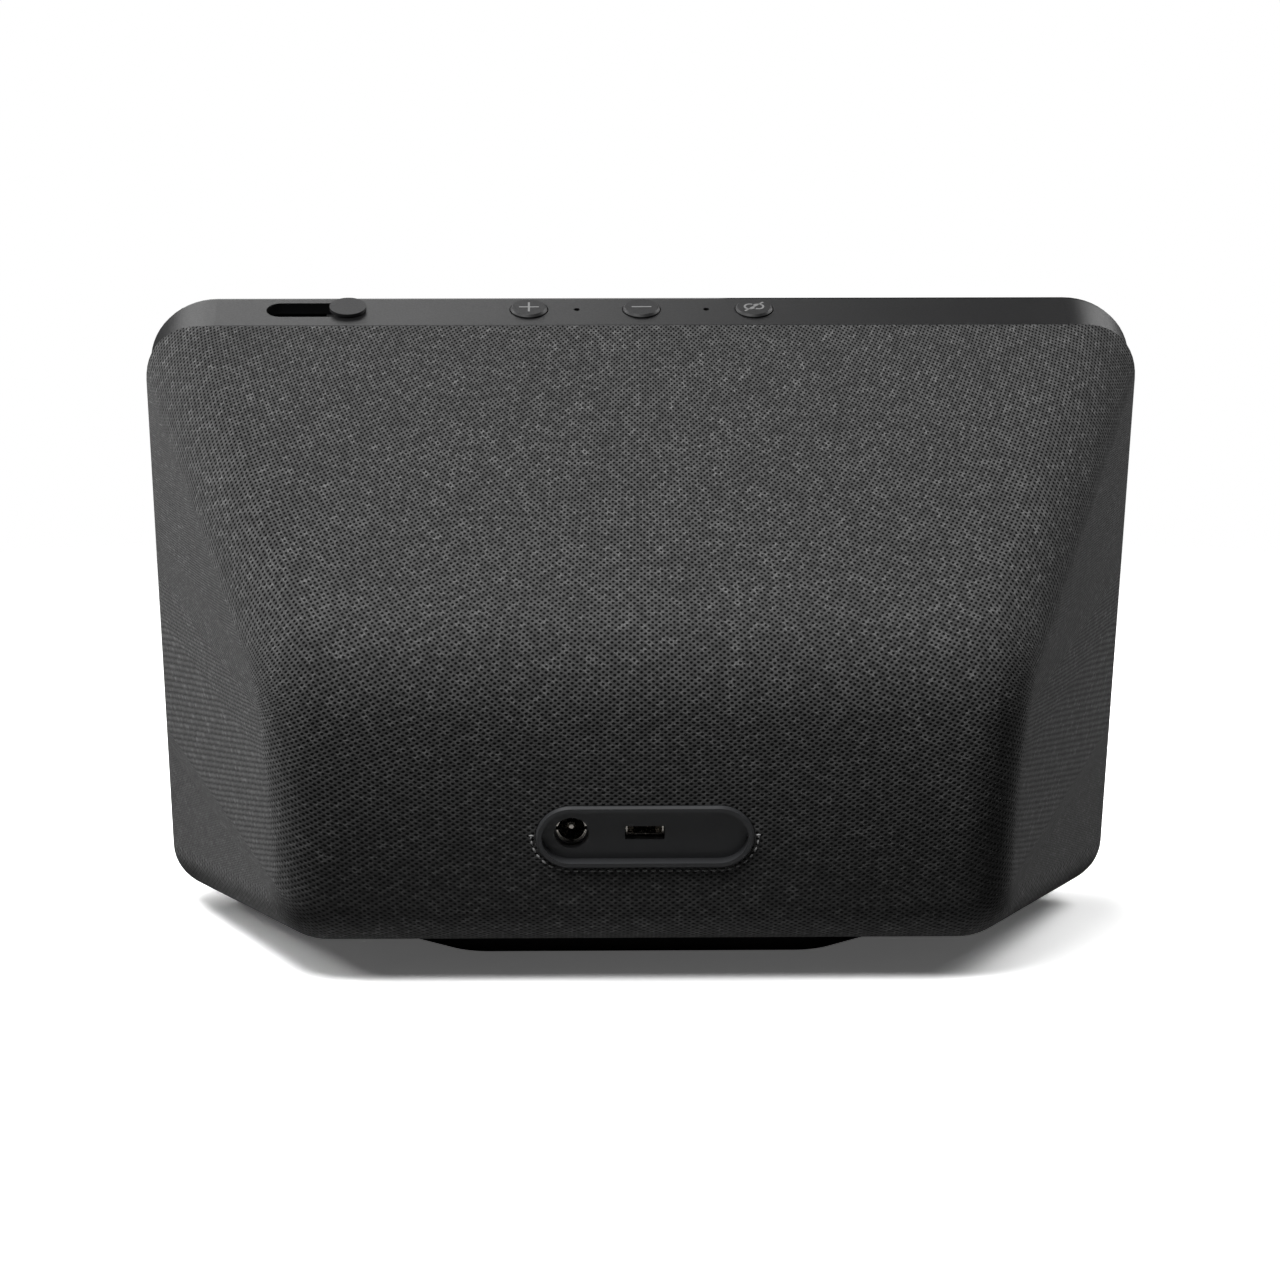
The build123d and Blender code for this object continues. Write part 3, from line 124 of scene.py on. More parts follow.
# %% Softboxes
UPPER_LEFT = Vector((100.0, 0.0, 170.0)) * MM
SOFTBOXES = {      # where it stands, what it is aimed at, its size, its power, and its spread
    "softbox_overhead": ((0.34, 0.56, 1.10), AIM, (0.6, 0.4), 12.4, 180),
    "softbox_gleam": ((0.36, -0.62, 0.78), AIM, (0.8, 0.6), 3.2, 180),
    "softbox_left": ((0.50, -0.10, 0.34), UPPER_LEFT, (0.2, 0.2), 0.10, 35),
    "softbox_right": ((-0.34, -0.16, 0.34), AIM, (0.25, 0.25), 1.0, 180),
}
for name, (place, aim, size, power, spread) in SOFTBOXES.items():
    light = bpy.data.lights.new(name, "AREA")
    light.shape = "RECTANGLE"
    light.size, light.size_y = size
    light.energy = power
    light.spread = math.radians(spread)
    lamp = bpy.data.objects.new(name, light)
    lamp.location = place
    lamp.rotation_mode = "QUATERNION"
    lamp.rotation_quaternion = (aim - Vector(place)).to_track_quat("-Z", "Y")
    bpy.context.scene.collection.objects.link(lamp)
print(len(SOFTBOXES), "softboxes")

# %% White surroundings
SURROUND_GLOW = 0.012
world = bpy.data.worlds.new("white_studio")
world.use_nodes = True
sky = world.node_tree
sky.nodes.clear()
seen = add(sky, "ShaderNodeLightPath")
backdrop = add(sky, "ShaderNodeBackground", {"Color": (1, 1, 1, 1), "Strength": 1.0})
glow = add(sky, "ShaderNodeBackground", {"Color": (1, 1, 1, 1), "Strength": SURROUND_GLOW})
either = add(
    sky,
    "ShaderNodeMixShader",
    {0: seen.outputs["Is Camera Ray"], 1: glow.outputs[0], 2: backdrop.outputs[0]},
)
add(sky, "ShaderNodeOutputWorld", {"Surface": either.outputs[0]})
bpy.context.scene.world = world
bpy.context.scene.view_settings.view_transform = "Standard"
print("the surroundings glow at", SURROUND_GLOW, "and look plain white to the camera")

# %% [markdown]
# A card bright enough to wash out would also flood the dark cloth with light from below. A
# studio hides that with black flags just out of view. Here the card answers each kind of ray
# in its own way: the camera sees it over-lit and fading into the backdrop, gloss sees it as
# far as it fades, and soft light comes back only from a small oval under the object. One
# shader with a Light Path node does it, and it is kept to the floor and the surroundings.

# %% Floor
FLOOR_REACH = 3.0
CARD_BOUNCE = "#a8a8a8"                # what the card sends back to the object
BOUNCE_START, BOUNCE_END = 0.045, 0.059     # metres, where that part stops
BOUNCE_SHAPE = (0.5, 1.0, 1.0)         # it is an oval, twice as wide as it is deep
FADE_START, FADE_END = 0.30, 0.55      # metres, where the card turns to backdrop
WASH_OUT, SHADOW_FLOOR = 2.0, 0.08     # how far the card is over-lit, and its deepest shadow
floor_mesh = bpy.data.meshes.new("white_card")
corners = [
    (x * FLOOR_REACH, y * FLOOR_REACH, 0) for x, y in ((-1, -1), (1, -1), (1, 1), (-1, 1))
]
floor_mesh.from_pydata(corners, [], [(0, 1, 2, 3)])
floor = bpy.data.objects.new("white_card", floor_mesh)
bpy.context.scene.collection.objects.link(floor)
card = bpy.data.materials.new("white_card")
card.use_nodes = True
card_tree = card.node_tree
card_tree.nodes.clear()
card_paths = add(card_tree, "ShaderNodeLightPath").outputs
card_place = add(card_tree, "ShaderNodeTexCoord")
card_oval = add(
    card_tree, "ShaderNodeVectorMath",
    {0: card_place.outputs["Object"], 1: BOUNCE_SHAPE}, operation="MULTIPLY",
)
bounce_edge, fade_edge = [
    add(
        card_tree, "ShaderNodeMapRange",
        {"Value": add(
            card_tree, "ShaderNodeVectorMath", {0: spot}, operation="LENGTH"
        ).outputs["Value"], "From Min": start, "From Max": end},
        interpolation_type="SMOOTHSTEP",
    ).outputs[0]
    for spot, start, end in (
        (card_oval.outputs[0], BOUNCE_START, BOUNCE_END),
        (card_place.outputs["Object"], FADE_START, FADE_END),
    )
]
card_lit = add(card_tree, "ShaderNodeBsdfDiffuse", {"Color": (WASH_OUT,) * 3 + (1,)})
card_deep = add(card_tree, "ShaderNodeEmission", {"Strength": SHADOW_FLOOR})
card_shown = add(
    card_tree, "ShaderNodeAddShader", {0: card_lit.outputs[0], 1: card_deep.outputs[0]}
)
card_sent = add(card_tree, "ShaderNodeBsdfDiffuse", {"Color": srgb(CARD_BOUNCE)})
card_clear = add(card_tree, "ShaderNodeBsdfTransparent").outputs[0]
sent_edge = add(
    card_tree, "ShaderNodeMix",
    {0: card_paths["Is Glossy Ray"], 2: bounce_edge, 3: fade_edge},
).outputs[0]
for_object, for_camera = [
    add(card_tree, "ShaderNodeMixShader", {0: edge, 1: shader.outputs[0], 2: card_clear})
    for edge, shader in ((sent_edge, card_sent), (fade_edge, card_shown))
]
card_both = add(
    card_tree, "ShaderNodeMixShader",
    {0: card_paths["Is Camera Ray"], 1: for_object.outputs[0], 2: for_camera.outputs[0]},
)
add(card_tree, "ShaderNodeOutputMaterial", {"Surface": card_both.outputs[0]})
floor_mesh.materials.append(card)
print("the card washes out", WASH_OUT, "times over")

# %% [markdown]
# ## The form behind the housing
# The back is one rule: a side profile of two straight runs and three arcs, tapered in plan,
# with a ball rolled along the crease between side and back. The same numbers drew the
# engineering model, so the cloth made from them fits it to a hair. They are repeated here,
# in millimetres.

# %% The rule of the form
WIDTH, HEIGHT, DEPTH = 200.4, 135.9, 99.1
TILT = math.radians(21.0)
SCREEN_LENGTH, HOUSING_DEPTH = 137.5, 13.0
SIDE_TAPER = math.radians(24.0)
CREASE_R = 13.0
TURNS = [32.0, -9.0, -23.86398, -85.8]     # the directions the back faces, top to underside
RADII = [30.0, 160.0, 18.0]                # knee, belly and chin

UP = np.array([0.0, math.sin(TILT), math.cos(TILT)])
REAR = np.array([0.0, math.cos(TILT), -math.sin(TILT)])


def facing(degrees):
    """The direction in the side view that faces this many degrees above straight back."""
    angle = np.radians(degrees)
    return np.stack([np.zeros_like(angle), np.cos(angle), np.sin(angle)], -1)


def downhill(degrees):
    """The direction along the back, going down, where it faces this many degrees up."""
    return -facing(np.asarray(degrees, float) + 90.0)


foot_edge = np.array([
    0.0,
    -DEPTH / 2 + HOUSING_DEPTH * math.cos(TILT),
    HEIGHT - SCREEN_LENGTH * math.cos(TILT) - HOUSING_DEPTH * math.sin(TILT),
])
head_edge = foot_edge + UP * SCREEN_LENGTH
knee_y = DEPTH / 2 - RADII[0]
slope = facing(TURNS[0])
knee = np.array([0.0, knee_y, (head_edge @ slope - RADII[0] - knee_y * slope[1]) / slope[2]])
belly = knee - facing(TURNS[1]) * (RADII[1] - RADII[0])
chin = belly + facing(TURNS[2]) * (RADII[1] - RADII[2])
centres = [knee, belly, chin]

first_run = (knee + slope * RADII[0] - head_edge) @ downhill(TURNS[0])
arc_runs = [
    RADII[i] * math.radians(TURNS[i] - TURNS[i + 1]) for i in range(len(RADII))
]
last_start = chin + facing(TURNS[3]) * RADII[2]
last_run = ((last_start - foot_edge) @ REAR) / -(downhill(TURNS[3]) @ REAR)
stations = np.cumsum([first_run, *arc_runs, last_run])
print("down the back, mm:", np.round(stations, 1))

# %% [markdown]
# `profile` walks down the back and gives, at each distance, the centre line of the rolling
# ball and the way the back faces.

# %% Walk down the back


def profile(run):
    """The rolling ball's centre and the facing direction, this far down the back."""
    run = np.asarray(run, float)
    starts = [0.0, *stations[:3]]
    angle = np.full(run.shape, TURNS[0])
    point = head_edge + run[..., None] * downhill(TURNS[0])
    for i, centre in enumerate(centres):
        turned = TURNS[i] - np.degrees((run - starts[i + 1]) / RADII[i])
        inside = run > starts[i + 1]
        angle = np.where(inside, turned, angle)
        point = np.where(inside[..., None], centre + facing(turned) * RADII[i], point)
    past = run > stations[3]
    angle = np.where(past, TURNS[3], angle)
    tail = last_start + (run - stations[3])[..., None] * downhill(TURNS[3])
    point = np.where(past[..., None], tail, point)
    return point - CREASE_R * facing(angle), facing(angle)


print("the ball starts at, mm:", np.round(profile(0.0)[0], 1))

# %% [markdown]
# `wrap` places whole columns of points: the flat band in the middle, the crease where the
# ball turns, and the tapered side up to the housing. A column's ends are found first, where
# it meets the plane of the housing, so the cloth's edge is straight. Called twice, with and
# without a thickness, it gives cloth that is closed and even.

# %% Wrap one side
KNIT_THICK = 1.1                               # mm
ROWS, MIDDLE, TURN, SIDE = 150, 64, 12, 14     # cells down, and across each part of a row


def lean_between(normal, side_normal, share):
    """A direction this share of the way round from the back's normal to the side's."""
    whole = np.arccos(np.clip(normal @ side_normal, -1, 1))[..., None]
    return (
        np.sin((1 - share) * whole) * normal + np.sin(share * whole) * side_normal
    ) / np.sin(whole)


def wrap(inset, side):
    """Columns of points from the middle of the back to the housing's edge on one side."""
    side_normal = np.array([side * math.cos(SIDE_TAPER), 0, 0]) + REAR * math.sin(SIDE_TAPER)
    to_front = np.array([side * math.sin(SIDE_TAPER), 0, 0]) - REAR * math.cos(SIDE_TAPER)
    reach = CREASE_R - inset
    columns, across, down = [], [], []
    plain = np.linspace(0, 1, ROWS + 1)
    shares = [0.0] * (MIDDLE // 2) + [i / TURN for i in range(TURN + 1)]
    bands = [i / (MIDDLE // 2) for i in range(MIDDLE // 2)] + [1.0] * (TURN + 1)
    for share, band in zip(shares, bands):
        ends = []
        for run in (0.0, stations[-1]):
            core, normal = profile(run)
            pointing = lean_between(normal, side_normal, share)
            depth = (core + reach * pointing - foot_edge) @ REAR
            along = profile(run + 1.0)[0] - core
            ends.append(run - depth / (along @ REAR))
        run = ends[0] + plain * (ends[1] - ends[0])
        core, normal = profile(run)
        depth = (core - foot_edge) @ REAR
        half = WIDTH / 2 - CREASE_R / math.cos(SIDE_TAPER) - depth * math.tan(SIDE_TAPER)
        turned = lean_between(normal, side_normal, share)
        point = core + reach * turned
        point[:, 0] += side * half * band
        arc = np.arccos(np.clip(normal @ side_normal, -1, 1)) * CREASE_R * share
        columns.append(point)
        across.append(side * (half * band + arc))
        down.append(run)
    edge, edge_across, edge_run = columns[-1], across[-1], down[-1]
    gap = ((edge - foot_edge) @ REAR) / math.cos(SIDE_TAPER)
    for i in range(1, SIDE + 1):
        columns.append(edge + to_front * (gap * i / SIDE)[:, None])
        across.append(edge_across + side * gap * i / SIDE)
        down.append(edge_run)
    return np.array(columns), np.array(across), np.array(down)


def sheet_points(inset):
    """One skin of the cover, side to side, with how far across and down each point lies."""
    left = wrap(inset, -1)
    right = wrap(inset, 1)
    return [np.concatenate([a[:0:-1], b]) for a, b in zip(left, right)]


outer, outer_across, outer_down = sheet_points(0.0)
inner, _, _ = sheet_points(KNIT_THICK)
print("one skin has", outer.shape[0], "columns of", outer.shape[1], "points")

# %% [markdown]
# ## How the knit stretches
# A spacer knit is tubular and is pulled over the shell when it is warm. Its columns of
# stitches fan out from a point above the top edge and its rows bow, because the belly is
# fuller than the top. So the cloth's own map counts stitches, not millimetres: the pitch
# grows on the way down, and the finish can draw the same stitch everywhere.

# %% Stitch map
PITCH_TOP, PITCH_GROWTH, PITCH_MOST = 0.966, 0.00717, 1.65    # mm between columns
ROW_TOP, ROW_GROWTH, ROW_BOW = 0.94, 0.0034, 0.75             # mm between rows
HIGHEST_ROW = -20.0                                           # mm, above the top edge
FAN_POLE = PITCH_TOP / PITCH_GROWTH


def stitch_map(across, down):
    """Stitch counts across and down for points on the unrolled cloth."""
    pitch = np.minimum(PITCH_TOP + PITCH_GROWTH * down, PITCH_MOST)
    bowed = down + ROW_BOW * (np.hypot(across, down + FAN_POLE) - (down + FAN_POLE))
    rows = np.log1p(ROW_GROWTH * np.maximum(bowed, HIGHEST_ROW) / ROW_TOP) / ROW_GROWTH
    return across / pitch, rows


print("the columns fan out from", round(FAN_POLE, 1), "mm above the top edge")

# %% [markdown]
# ## Making the cover
# The real cover is one closed layer about a millimetre thick, so it is made as a solid sheet
# and not as a bare surface: two skins, and a rim that joins their edges. Mesh code does it
# better than a Solidify modifier here, because both skins come from the same exact rule.

# %% Mesh helpers


def grow_piece(name, points, faces, finish):
    """Makes a mesh object from points in metres, and leaves its place in its mesh."""
    mesh = bpy.data.meshes.new(name)
    mesh.from_pydata(points, [], faces)
    piece = bpy.data.objects.new(name, mesh)
    bpy.context.scene.collection.objects.link(piece)
    mesh.materials.append(finish)
    return piece


def bake_modifiers(piece):
    """Turns a piece's modifiers into plain mesh."""
    graph = bpy.context.evaluated_depsgraph_get()
    solid = bpy.data.meshes.new_from_object(piece.evaluated_get(graph))
    piece.modifiers.clear()
    piece.data = solid
    solid.name = piece.name


print("mesh helpers ready")

# %% Weave the two skins into one closed sheet
WELD = 0.002 * MM
columns, rows = outer.shape[:2]
cells = columns * rows
place = np.arange(cells).reshape(columns, rows)
near, far = place[:-1, :-1], place[1:, :-1]
quads = np.stack([near, near + 1, far + 1, far], -1).reshape(-1, 4)
rim = np.concatenate(
    [place[0, :], place[1:, -1], place[-1, -2::-1], place[-2:0:-1, 0]]
)
rim_faces = [
    (rim[i], rim[i - 1], rim[i - 1] + cells, rim[i] + cells) for i in range(len(rim))
]
faces = [tuple(q) for q in quads] + [tuple(q[::-1] + cells) for q in quads] + rim_faces
points = np.concatenate([outer.reshape(-1, 3), inner.reshape(-1, 3)]) * MM
knit_finish, knit_tree, knit_shader = new_finish("warm_moulded_spacer_knit")
knit = grow_piece("knit_cover", points.tolist(), faces, knit_finish)
counts = np.stack(stitch_map(outer_across.ravel(), outer_down.ravel()), -1)
counts = np.concatenate([counts, counts])
stitches = knit.data.uv_layers.new(name="stitches")
corner_points = np.zeros(len(knit.data.loops), np.int32)
knit.data.loops.foreach_get("vertex_index", corner_points)
stitches.data.foreach_set("uv", counts[corner_points].astype(np.float32).ravel())
welded = bmesh.new()
welded.from_mesh(knit.data)
bmesh.ops.remove_doubles(welded, verts=welded.verts, dist=WELD)
bmesh.ops.dissolve_degenerate(welded, edges=welded.edges, dist=WELD)
bmesh.ops.recalc_face_normals(welded, faces=welded.faces)
print("open edges in the cover:", sum(len(e.link_faces) != 2 for e in welded.edges))
welded.to_mesh(knit.data)
welded.free()

# %% [markdown]
# ## Cutting the cloth open
# The cover has two openings: a long slot with round ends for the port, and the outline of
# the foot. A punch is built for each as a closed block and subtracted with an exact Boolean,
# which keeps the stitch map on what is left.

# %% The port's own frame
PORT_TURN = -18.1              # degrees that the back faces there
PORT_SIZE = (43.5, 14.2)       # mm
PUNCH_GAP = 0.15               # mm of air round the port
PUNCH_REACH = 6.0              # mm, in and out of the cloth
SLOT_STEPS = 24                # faces in each round end
port_out = facing(PORT_TURN)
port_up = facing(PORT_TURN + 90)
port_right = np.array([-1.0, 0, 0])
port_centre = belly + port_out * RADII[1]


def on_port(x, y, z=0.0):
    """A point in the port's own frame, in metres: across, up the belly, and outwards."""
    return Vector((port_centre + port_right * x + port_up * y + port_out * z) * MM)


def slot_outline(length, width, steps):
    """A slot with round ends, anticlockwise, in millimetres."""
    radius, straight = width / 2, (length - width) / 2
    ends = []
    for centre, start in ((straight, -90), (-straight, 90)):
        for i in range(steps + 1):
            angle = math.radians(start + 180 * i / steps)
            ends.append((centre + radius * math.cos(angle), radius * math.sin(angle)))
    return ends


def block(name, low_ring, high_ring):
    """A closed block between two rings of points."""
    count = len(low_ring)
    walls = [(i, (i + 1) % count, (i + 1) % count + count, i + count) for i in range(count)]
    caps = [tuple(range(count))[::-1], tuple(range(count, 2 * count))]
    return grow_piece(name, [*low_ring, *high_ring], walls + caps, knit_finish)


punch_outline = slot_outline(*(size + 2 * PUNCH_GAP for size in PORT_SIZE), SLOT_STEPS)
port_punch = block(
    "port_punch",
    [on_port(x, y, -PUNCH_REACH) for x, y in punch_outline],
    [on_port(x, y, PUNCH_REACH) for x, y in punch_outline],
)
print("the port stands at, mm:", np.round(port_centre, 1))

# %% The foot's outline
FOOT_WAIST, FOOT_BACK_HALF, FOOT_ROUND = 21.0, 36.0, 11.0     # mm
FOOT_SHRINK = 2.3                                             # mm of cloth under the foot
foot_low, foot_high = (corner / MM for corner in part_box("rubber_foot"))


def rounded(outline, radius, steps=8):
    """A convex outline with its corners turned to arcs."""
    ring = []
    for i, corner in enumerate(outline):
        here = Vector(corner)
        before = (Vector(outline[i - 1]) - here).normalized()
        after = (Vector(outline[(i + 1) % len(outline)]) - here).normalized()
        half = before.angle(after) / 2
        centre = here + (before + after).normalized() * radius / math.sin(half)
        start = here + before * radius / math.tan(half) - centre
        sweep = math.pi - 2 * half
        for k in range(steps + 1):
            angle = sweep * k / steps
            turned = (
                start.x * math.cos(angle) - start.y * math.sin(angle),
                start.x * math.sin(angle) + start.y * math.cos(angle),
            )
            ring.append((centre.x + turned[0], centre.y + turned[1]))
    return ring


def foot_ring(shrink):
    """The foot's outline, taken in by shrink, anticlockwise from above."""
    wide, front, back = foot_high.x, foot_low.y, foot_high.y
    outline = [
        (-wide, front), (wide, front), (wide, front + FOOT_WAIST),
        (FOOT_BACK_HALF, back), (-FOOT_BACK_HALF, back), (-wide, front + FOOT_WAIST),
    ]
    ring = rounded(outline, FOOT_ROUND)
    taken = []
    for i, point in enumerate(ring):
        along = Vector(ring[(i + 1) % len(ring)]) - Vector(ring[i - 1])
        inwards = Vector((-along.y, along.x)).normalized()
        taken.append(Vector(point) + inwards * shrink)
    return [(p.x, p.y) for p in taken]


base_ring = foot_ring(FOOT_SHRINK)
print("the foot's outline has", len(base_ring), "points")

# %% Punch the openings
BASE_PUNCH_LOW, BASE_PUNCH_HIGH = -5.0, 25.0     # mm above the floor
SHARP_EDGE = 40                                  # degrees, from here a cut edge looks sharp
base_punch = block(
    "base_punch",
    [Vector((x, y, BASE_PUNCH_LOW)) * MM for x, y in base_ring],
    [Vector((x, y, BASE_PUNCH_HIGH)) * MM for x, y in base_ring],
)
for punch in (port_punch, base_punch):
    cut = knit.modifiers.new(punch.name, "BOOLEAN")
    cut.operation = "DIFFERENCE"
    cut.solver = "EXACT"
    cut.object = punch
bake_modifiers(knit)
for punch in (port_punch, base_punch):
    bpy.data.objects.remove(punch)
knit.data.shade_smooth()
knit.data.set_sharp_from_angle(angle=math.radians(SHARP_EDGE))
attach(knit, "root")
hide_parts("fabric_cover")
print("knit cover:", len(knit.data.polygons), "faces")

# %% [markdown]
# ## The knit's finish
# Polyester spacer knit is a matt, slightly fuzzy cloth. Two sets of diagonal yarns cross and
# leave a staggered field of small dark holes, and a melange of charcoal and pale filaments
# makes it sparkle a little. The stitch map is turned 45 degrees, so the holes sit in the
# cells of a plain square grid and the yarns run along its lines.

# %% Knit finish
YARN_SHADES = {0.30: "#585858", 0.5: "#636363", 0.68: "#707070", 0.80: "#949494"}
HOLE_SHADE = srgb("#0c0c0c")
WOBBLE = 0.07                                  # how far stitches stray, in stitches
HOLE_EDGE, YARN_EDGE = 0.15, 0.44              # in cells, where a hole stops and yarn starts
STRAY_MM, HEATHER_MM, FIBRE_MM = 2.4, 5.0, 0.45
LOT_SHARE, FIBRE_SHARE, HEATHER_SHARE = 0.44, 0.38, 0.18
FUZZ = 0.5                                     # the fibres' share of the relief
RELIEF_STRENGTH, RELIEF_DEPTH = 0.6, 0.2 * MM
CLOTH_GLOSS = {
    "Roughness": 0.85, "Specular IOR Level": 0.14, "Sheen Weight": 0.2, "Sheen Roughness": 0.4,
}
knit_map = add(knit_tree, "ShaderNodeUVMap", uv_map="stitches")
where = add(knit_tree, "ShaderNodeTexCoord").outputs["Object"]
stray, heather, fibre = [
    add(
        knit_tree, "ShaderNodeTexNoise",
        {"Vector": where, "Scale": 1 / (size * MM), "Detail": detail},
    )
    for size, detail in ((STRAY_MM, 1.0), (HEATHER_MM, 3.0), (FIBRE_MM, 2.0))
]
stray_middle = add(
    knit_tree, "ShaderNodeVectorMath",
    {0: stray.outputs["Color"], 1: (0.5, 0.5, 0.5)}, operation="SUBTRACT",
)
stray_scaled = add(
    knit_tree, "ShaderNodeVectorMath",
    {0: stray_middle.outputs[0], "Scale": 2 * WOBBLE}, operation="SCALE",
)
strayed = add(
    knit_tree, "ShaderNodeVectorMath",
    {0: knit_map.outputs[0], 1: stray_scaled.outputs[0]}, operation="ADD",
)
print("stitches stray by up to", WOBBLE, "of a stitch")

# %% Holes between the yarns
lattice = add(
    knit_tree, "ShaderNodeMapping",
    {"Vector": strayed.outputs[0], "Rotation": (0, 0, math.radians(45)),
     "Scale": (math.sqrt(2), math.sqrt(2), 0)},
)
inside_cell = add(
    knit_tree, "ShaderNodeVectorMath", {0: lattice.outputs[0]}, operation="FRACTION"
)
from_hole = add(
    knit_tree, "ShaderNodeVectorMath",
    {0: inside_cell.outputs[0], 1: (0.5, 0.5, 0.0)}, operation="DISTANCE",
)
open_cell = add(
    knit_tree, "ShaderNodeMapRange",
    {"Value": from_hole.outputs["Value"], "From Min": HOLE_EDGE, "From Max": YARN_EDGE},
    interpolation_type="SMOOTHSTEP",
)
cell_corner = add(
    knit_tree, "ShaderNodeVectorMath",
    {0: lattice.outputs[0], 1: (0.5, 0.0, 0.0)}, operation="ADD",
)
cell_name = add(
    knit_tree, "ShaderNodeVectorMath", {0: cell_corner.outputs[0]}, operation="FLOOR"
)
print("holes and yarns meet between", HOLE_EDGE, "and", YARN_EDGE, "of a cell")

# %% Yarn colours, relief and gloss
lot = add(knit_tree, "ShaderNodeTexWhiteNoise", {"Vector": cell_name.outputs[0]})
shade = None
for source, share in (
    (lot.outputs["Value"], LOT_SHARE),
    (fibre.outputs[0], FIBRE_SHARE),
    (heather.outputs[0], HEATHER_SHARE),
):
    shade = add(
        knit_tree, "ShaderNodeMath", {0: source, 1: share, 2: shade or 0.0},
        operation="MULTIPLY_ADD",
    ).outputs[0]
yarn = add(knit_tree, "ShaderNodeValToRGB", {"Fac": shade})
stops = yarn.color_ramp.elements
for i, (position, code) in enumerate(YARN_SHADES.items()):
    stop = stops[i] if i < len(stops) else stops.new(position)
    stop.position = position
    stop.color = srgb(code)
cloth_colour = add(
    knit_tree, "ShaderNodeMix",
    {0: open_cell.outputs[0], 6: HOLE_SHADE, 7: yarn.outputs[0]}, data_type="RGBA",
)
relief = add(
    knit_tree, "ShaderNodeMath",
    {0: fibre.outputs[0], 1: FUZZ, 2: open_cell.outputs[0]}, operation="MULTIPLY_ADD",
)
knit_bump = add(
    knit_tree, "ShaderNodeBump",
    {"Strength": RELIEF_STRENGTH, "Distance": RELIEF_DEPTH, "Height": relief.outputs[0]},
)
knit_tree.links.new(cloth_colour.outputs[2], knit_shader.inputs["Base Color"])
knit_tree.links.new(knit_bump.outputs[0], knit_shader.inputs["Normal"])
for label, value in CLOTH_GLOSS.items():
    knit_shader.inputs[label].default_value = value
print("knit finish has", len(knit_tree.nodes), "nodes")

# %% [markdown]
# ## Moulded plastics and rubber
# ABS parts come out of a spark-eroded mould, which prints a fine pebbled grain that breaks
# up the gloss. One recipe serves them all: a base colour with slight clouding, a grain of a
# stated size, and a roughness that the clouding nudges.

# %% Moulded finishes
CLOUD_MM = 18                          # size of the faint clouding
NOISE_LOW, NOISE_HIGH = 0.3, 0.7       # where nearly all of a noise lies
GRAIN_STRENGTH, GLOSS_SPREAD = 0.6, 0.05


def moulded(name, code, roughness, grain_mm, depth_mm, clouding=0.06):
    """A moulded plastic or rubber: colour, gloss, and grain of a real size in millimetres."""
    finish, tree, surface = new_finish(name, Base_Color=srgb(code), Roughness=roughness)
    spot = add(tree, "ShaderNodeTexCoord")
    cloud = add(
        tree, "ShaderNodeTexNoise",
        {"Vector": spot.outputs["Object"], "Scale": 1 / (CLOUD_MM * MM), "Detail": 4.0},
    )
    grain = add(
        tree, "ShaderNodeTexNoise",
        {"Vector": spot.outputs["Object"], "Scale": 1 / (grain_mm * MM), "Detail": 2.0},
    )
    tone = add(
        tree, "ShaderNodeMapRange",
        {"Value": cloud.outputs[0], "From Min": NOISE_LOW, "From Max": NOISE_HIGH,
         "To Min": 1 - clouding, "To Max": 1 + clouding},
    )
    tinted = add(
        tree, "ShaderNodeVectorMath",
        {0: srgb(code)[:3], "Scale": tone.outputs[0]}, operation="SCALE",
    )
    gloss = add(
        tree, "ShaderNodeMapRange",
        {"Value": grain.outputs[0], "From Min": NOISE_LOW, "From Max": NOISE_HIGH,
         "To Min": roughness - GLOSS_SPREAD, "To Max": roughness + GLOSS_SPREAD},
    )
    bump = add(
        tree, "ShaderNodeBump",
        {"Strength": GRAIN_STRENGTH, "Distance": depth_mm * MM, "Height": grain.outputs[0]},
    )
    tree.links.new(tinted.outputs[0], surface.inputs["Base Color"])
    tree.links.new(gloss.outputs[0], surface.inputs["Roughness"])
    tree.links.new(bump.outputs[0], surface.inputs["Normal"])
    return finish


FINISHES = {
    "housing_plastic": moulded("spark_textured_abs", "#151516", 0.40, 0.35, 0.02),
    "button_plastic": moulded("spark_textured_abs_key", "#1b1b1c", 0.52, 0.35, 0.02),
    "port_plastic": moulded("satin_moulded_abs", "#47484a", 0.42, 0.4, 0.01),
    "socket_plastic": moulded("glass_filled_nylon", "#1d1d1e", 0.5, 0.3, 0.02),
    "shell_plastic": moulded("moulded_polycarbonate", "#2b2c2e", 0.5, 0.6, 0.03),
    "tray_plastic": moulded("white_reflector_polycarbonate", "#dcdcda", 0.35, 0.6, 0.01),
    "rubber": moulded("matt_silicone_rubber", "#1d1d1f", 0.7, 0.5, 0.04),
    "cone_paper": moulded("pressed_paper_pulp", "#1e1e1f", 0.8, 0.7, 0.06, 0.2),
    "ferrite": moulded("sintered_ferrite", "#2c2c2e", 0.6, 0.3, 0.03, 0.15),
    "board": moulded("green_solder_mask", "#0f3d24", 0.3, 0.8, 0.02, 0.15),
    "flex": moulded("amber_polyimide_film", "#9a6a1c", 0.25, 0.8, 0.01, 0.1),
}
print(len(FINISHES), "moulded finishes")

# %% [markdown]
# ## Metals
# Sheet metal keeps the marks of the rolling mill, long in one direction, and plated metal
# keeps faint mottling. Both are metallic shaders at the default IOR whose roughness is
# broken up by noise: stretched for a rolled sheet, even for a plated one.

# %% Metal finishes
MARK_GLOSS, MARK_SHADE = 0.3, 0.08     # how far the marks move the roughness and the colour


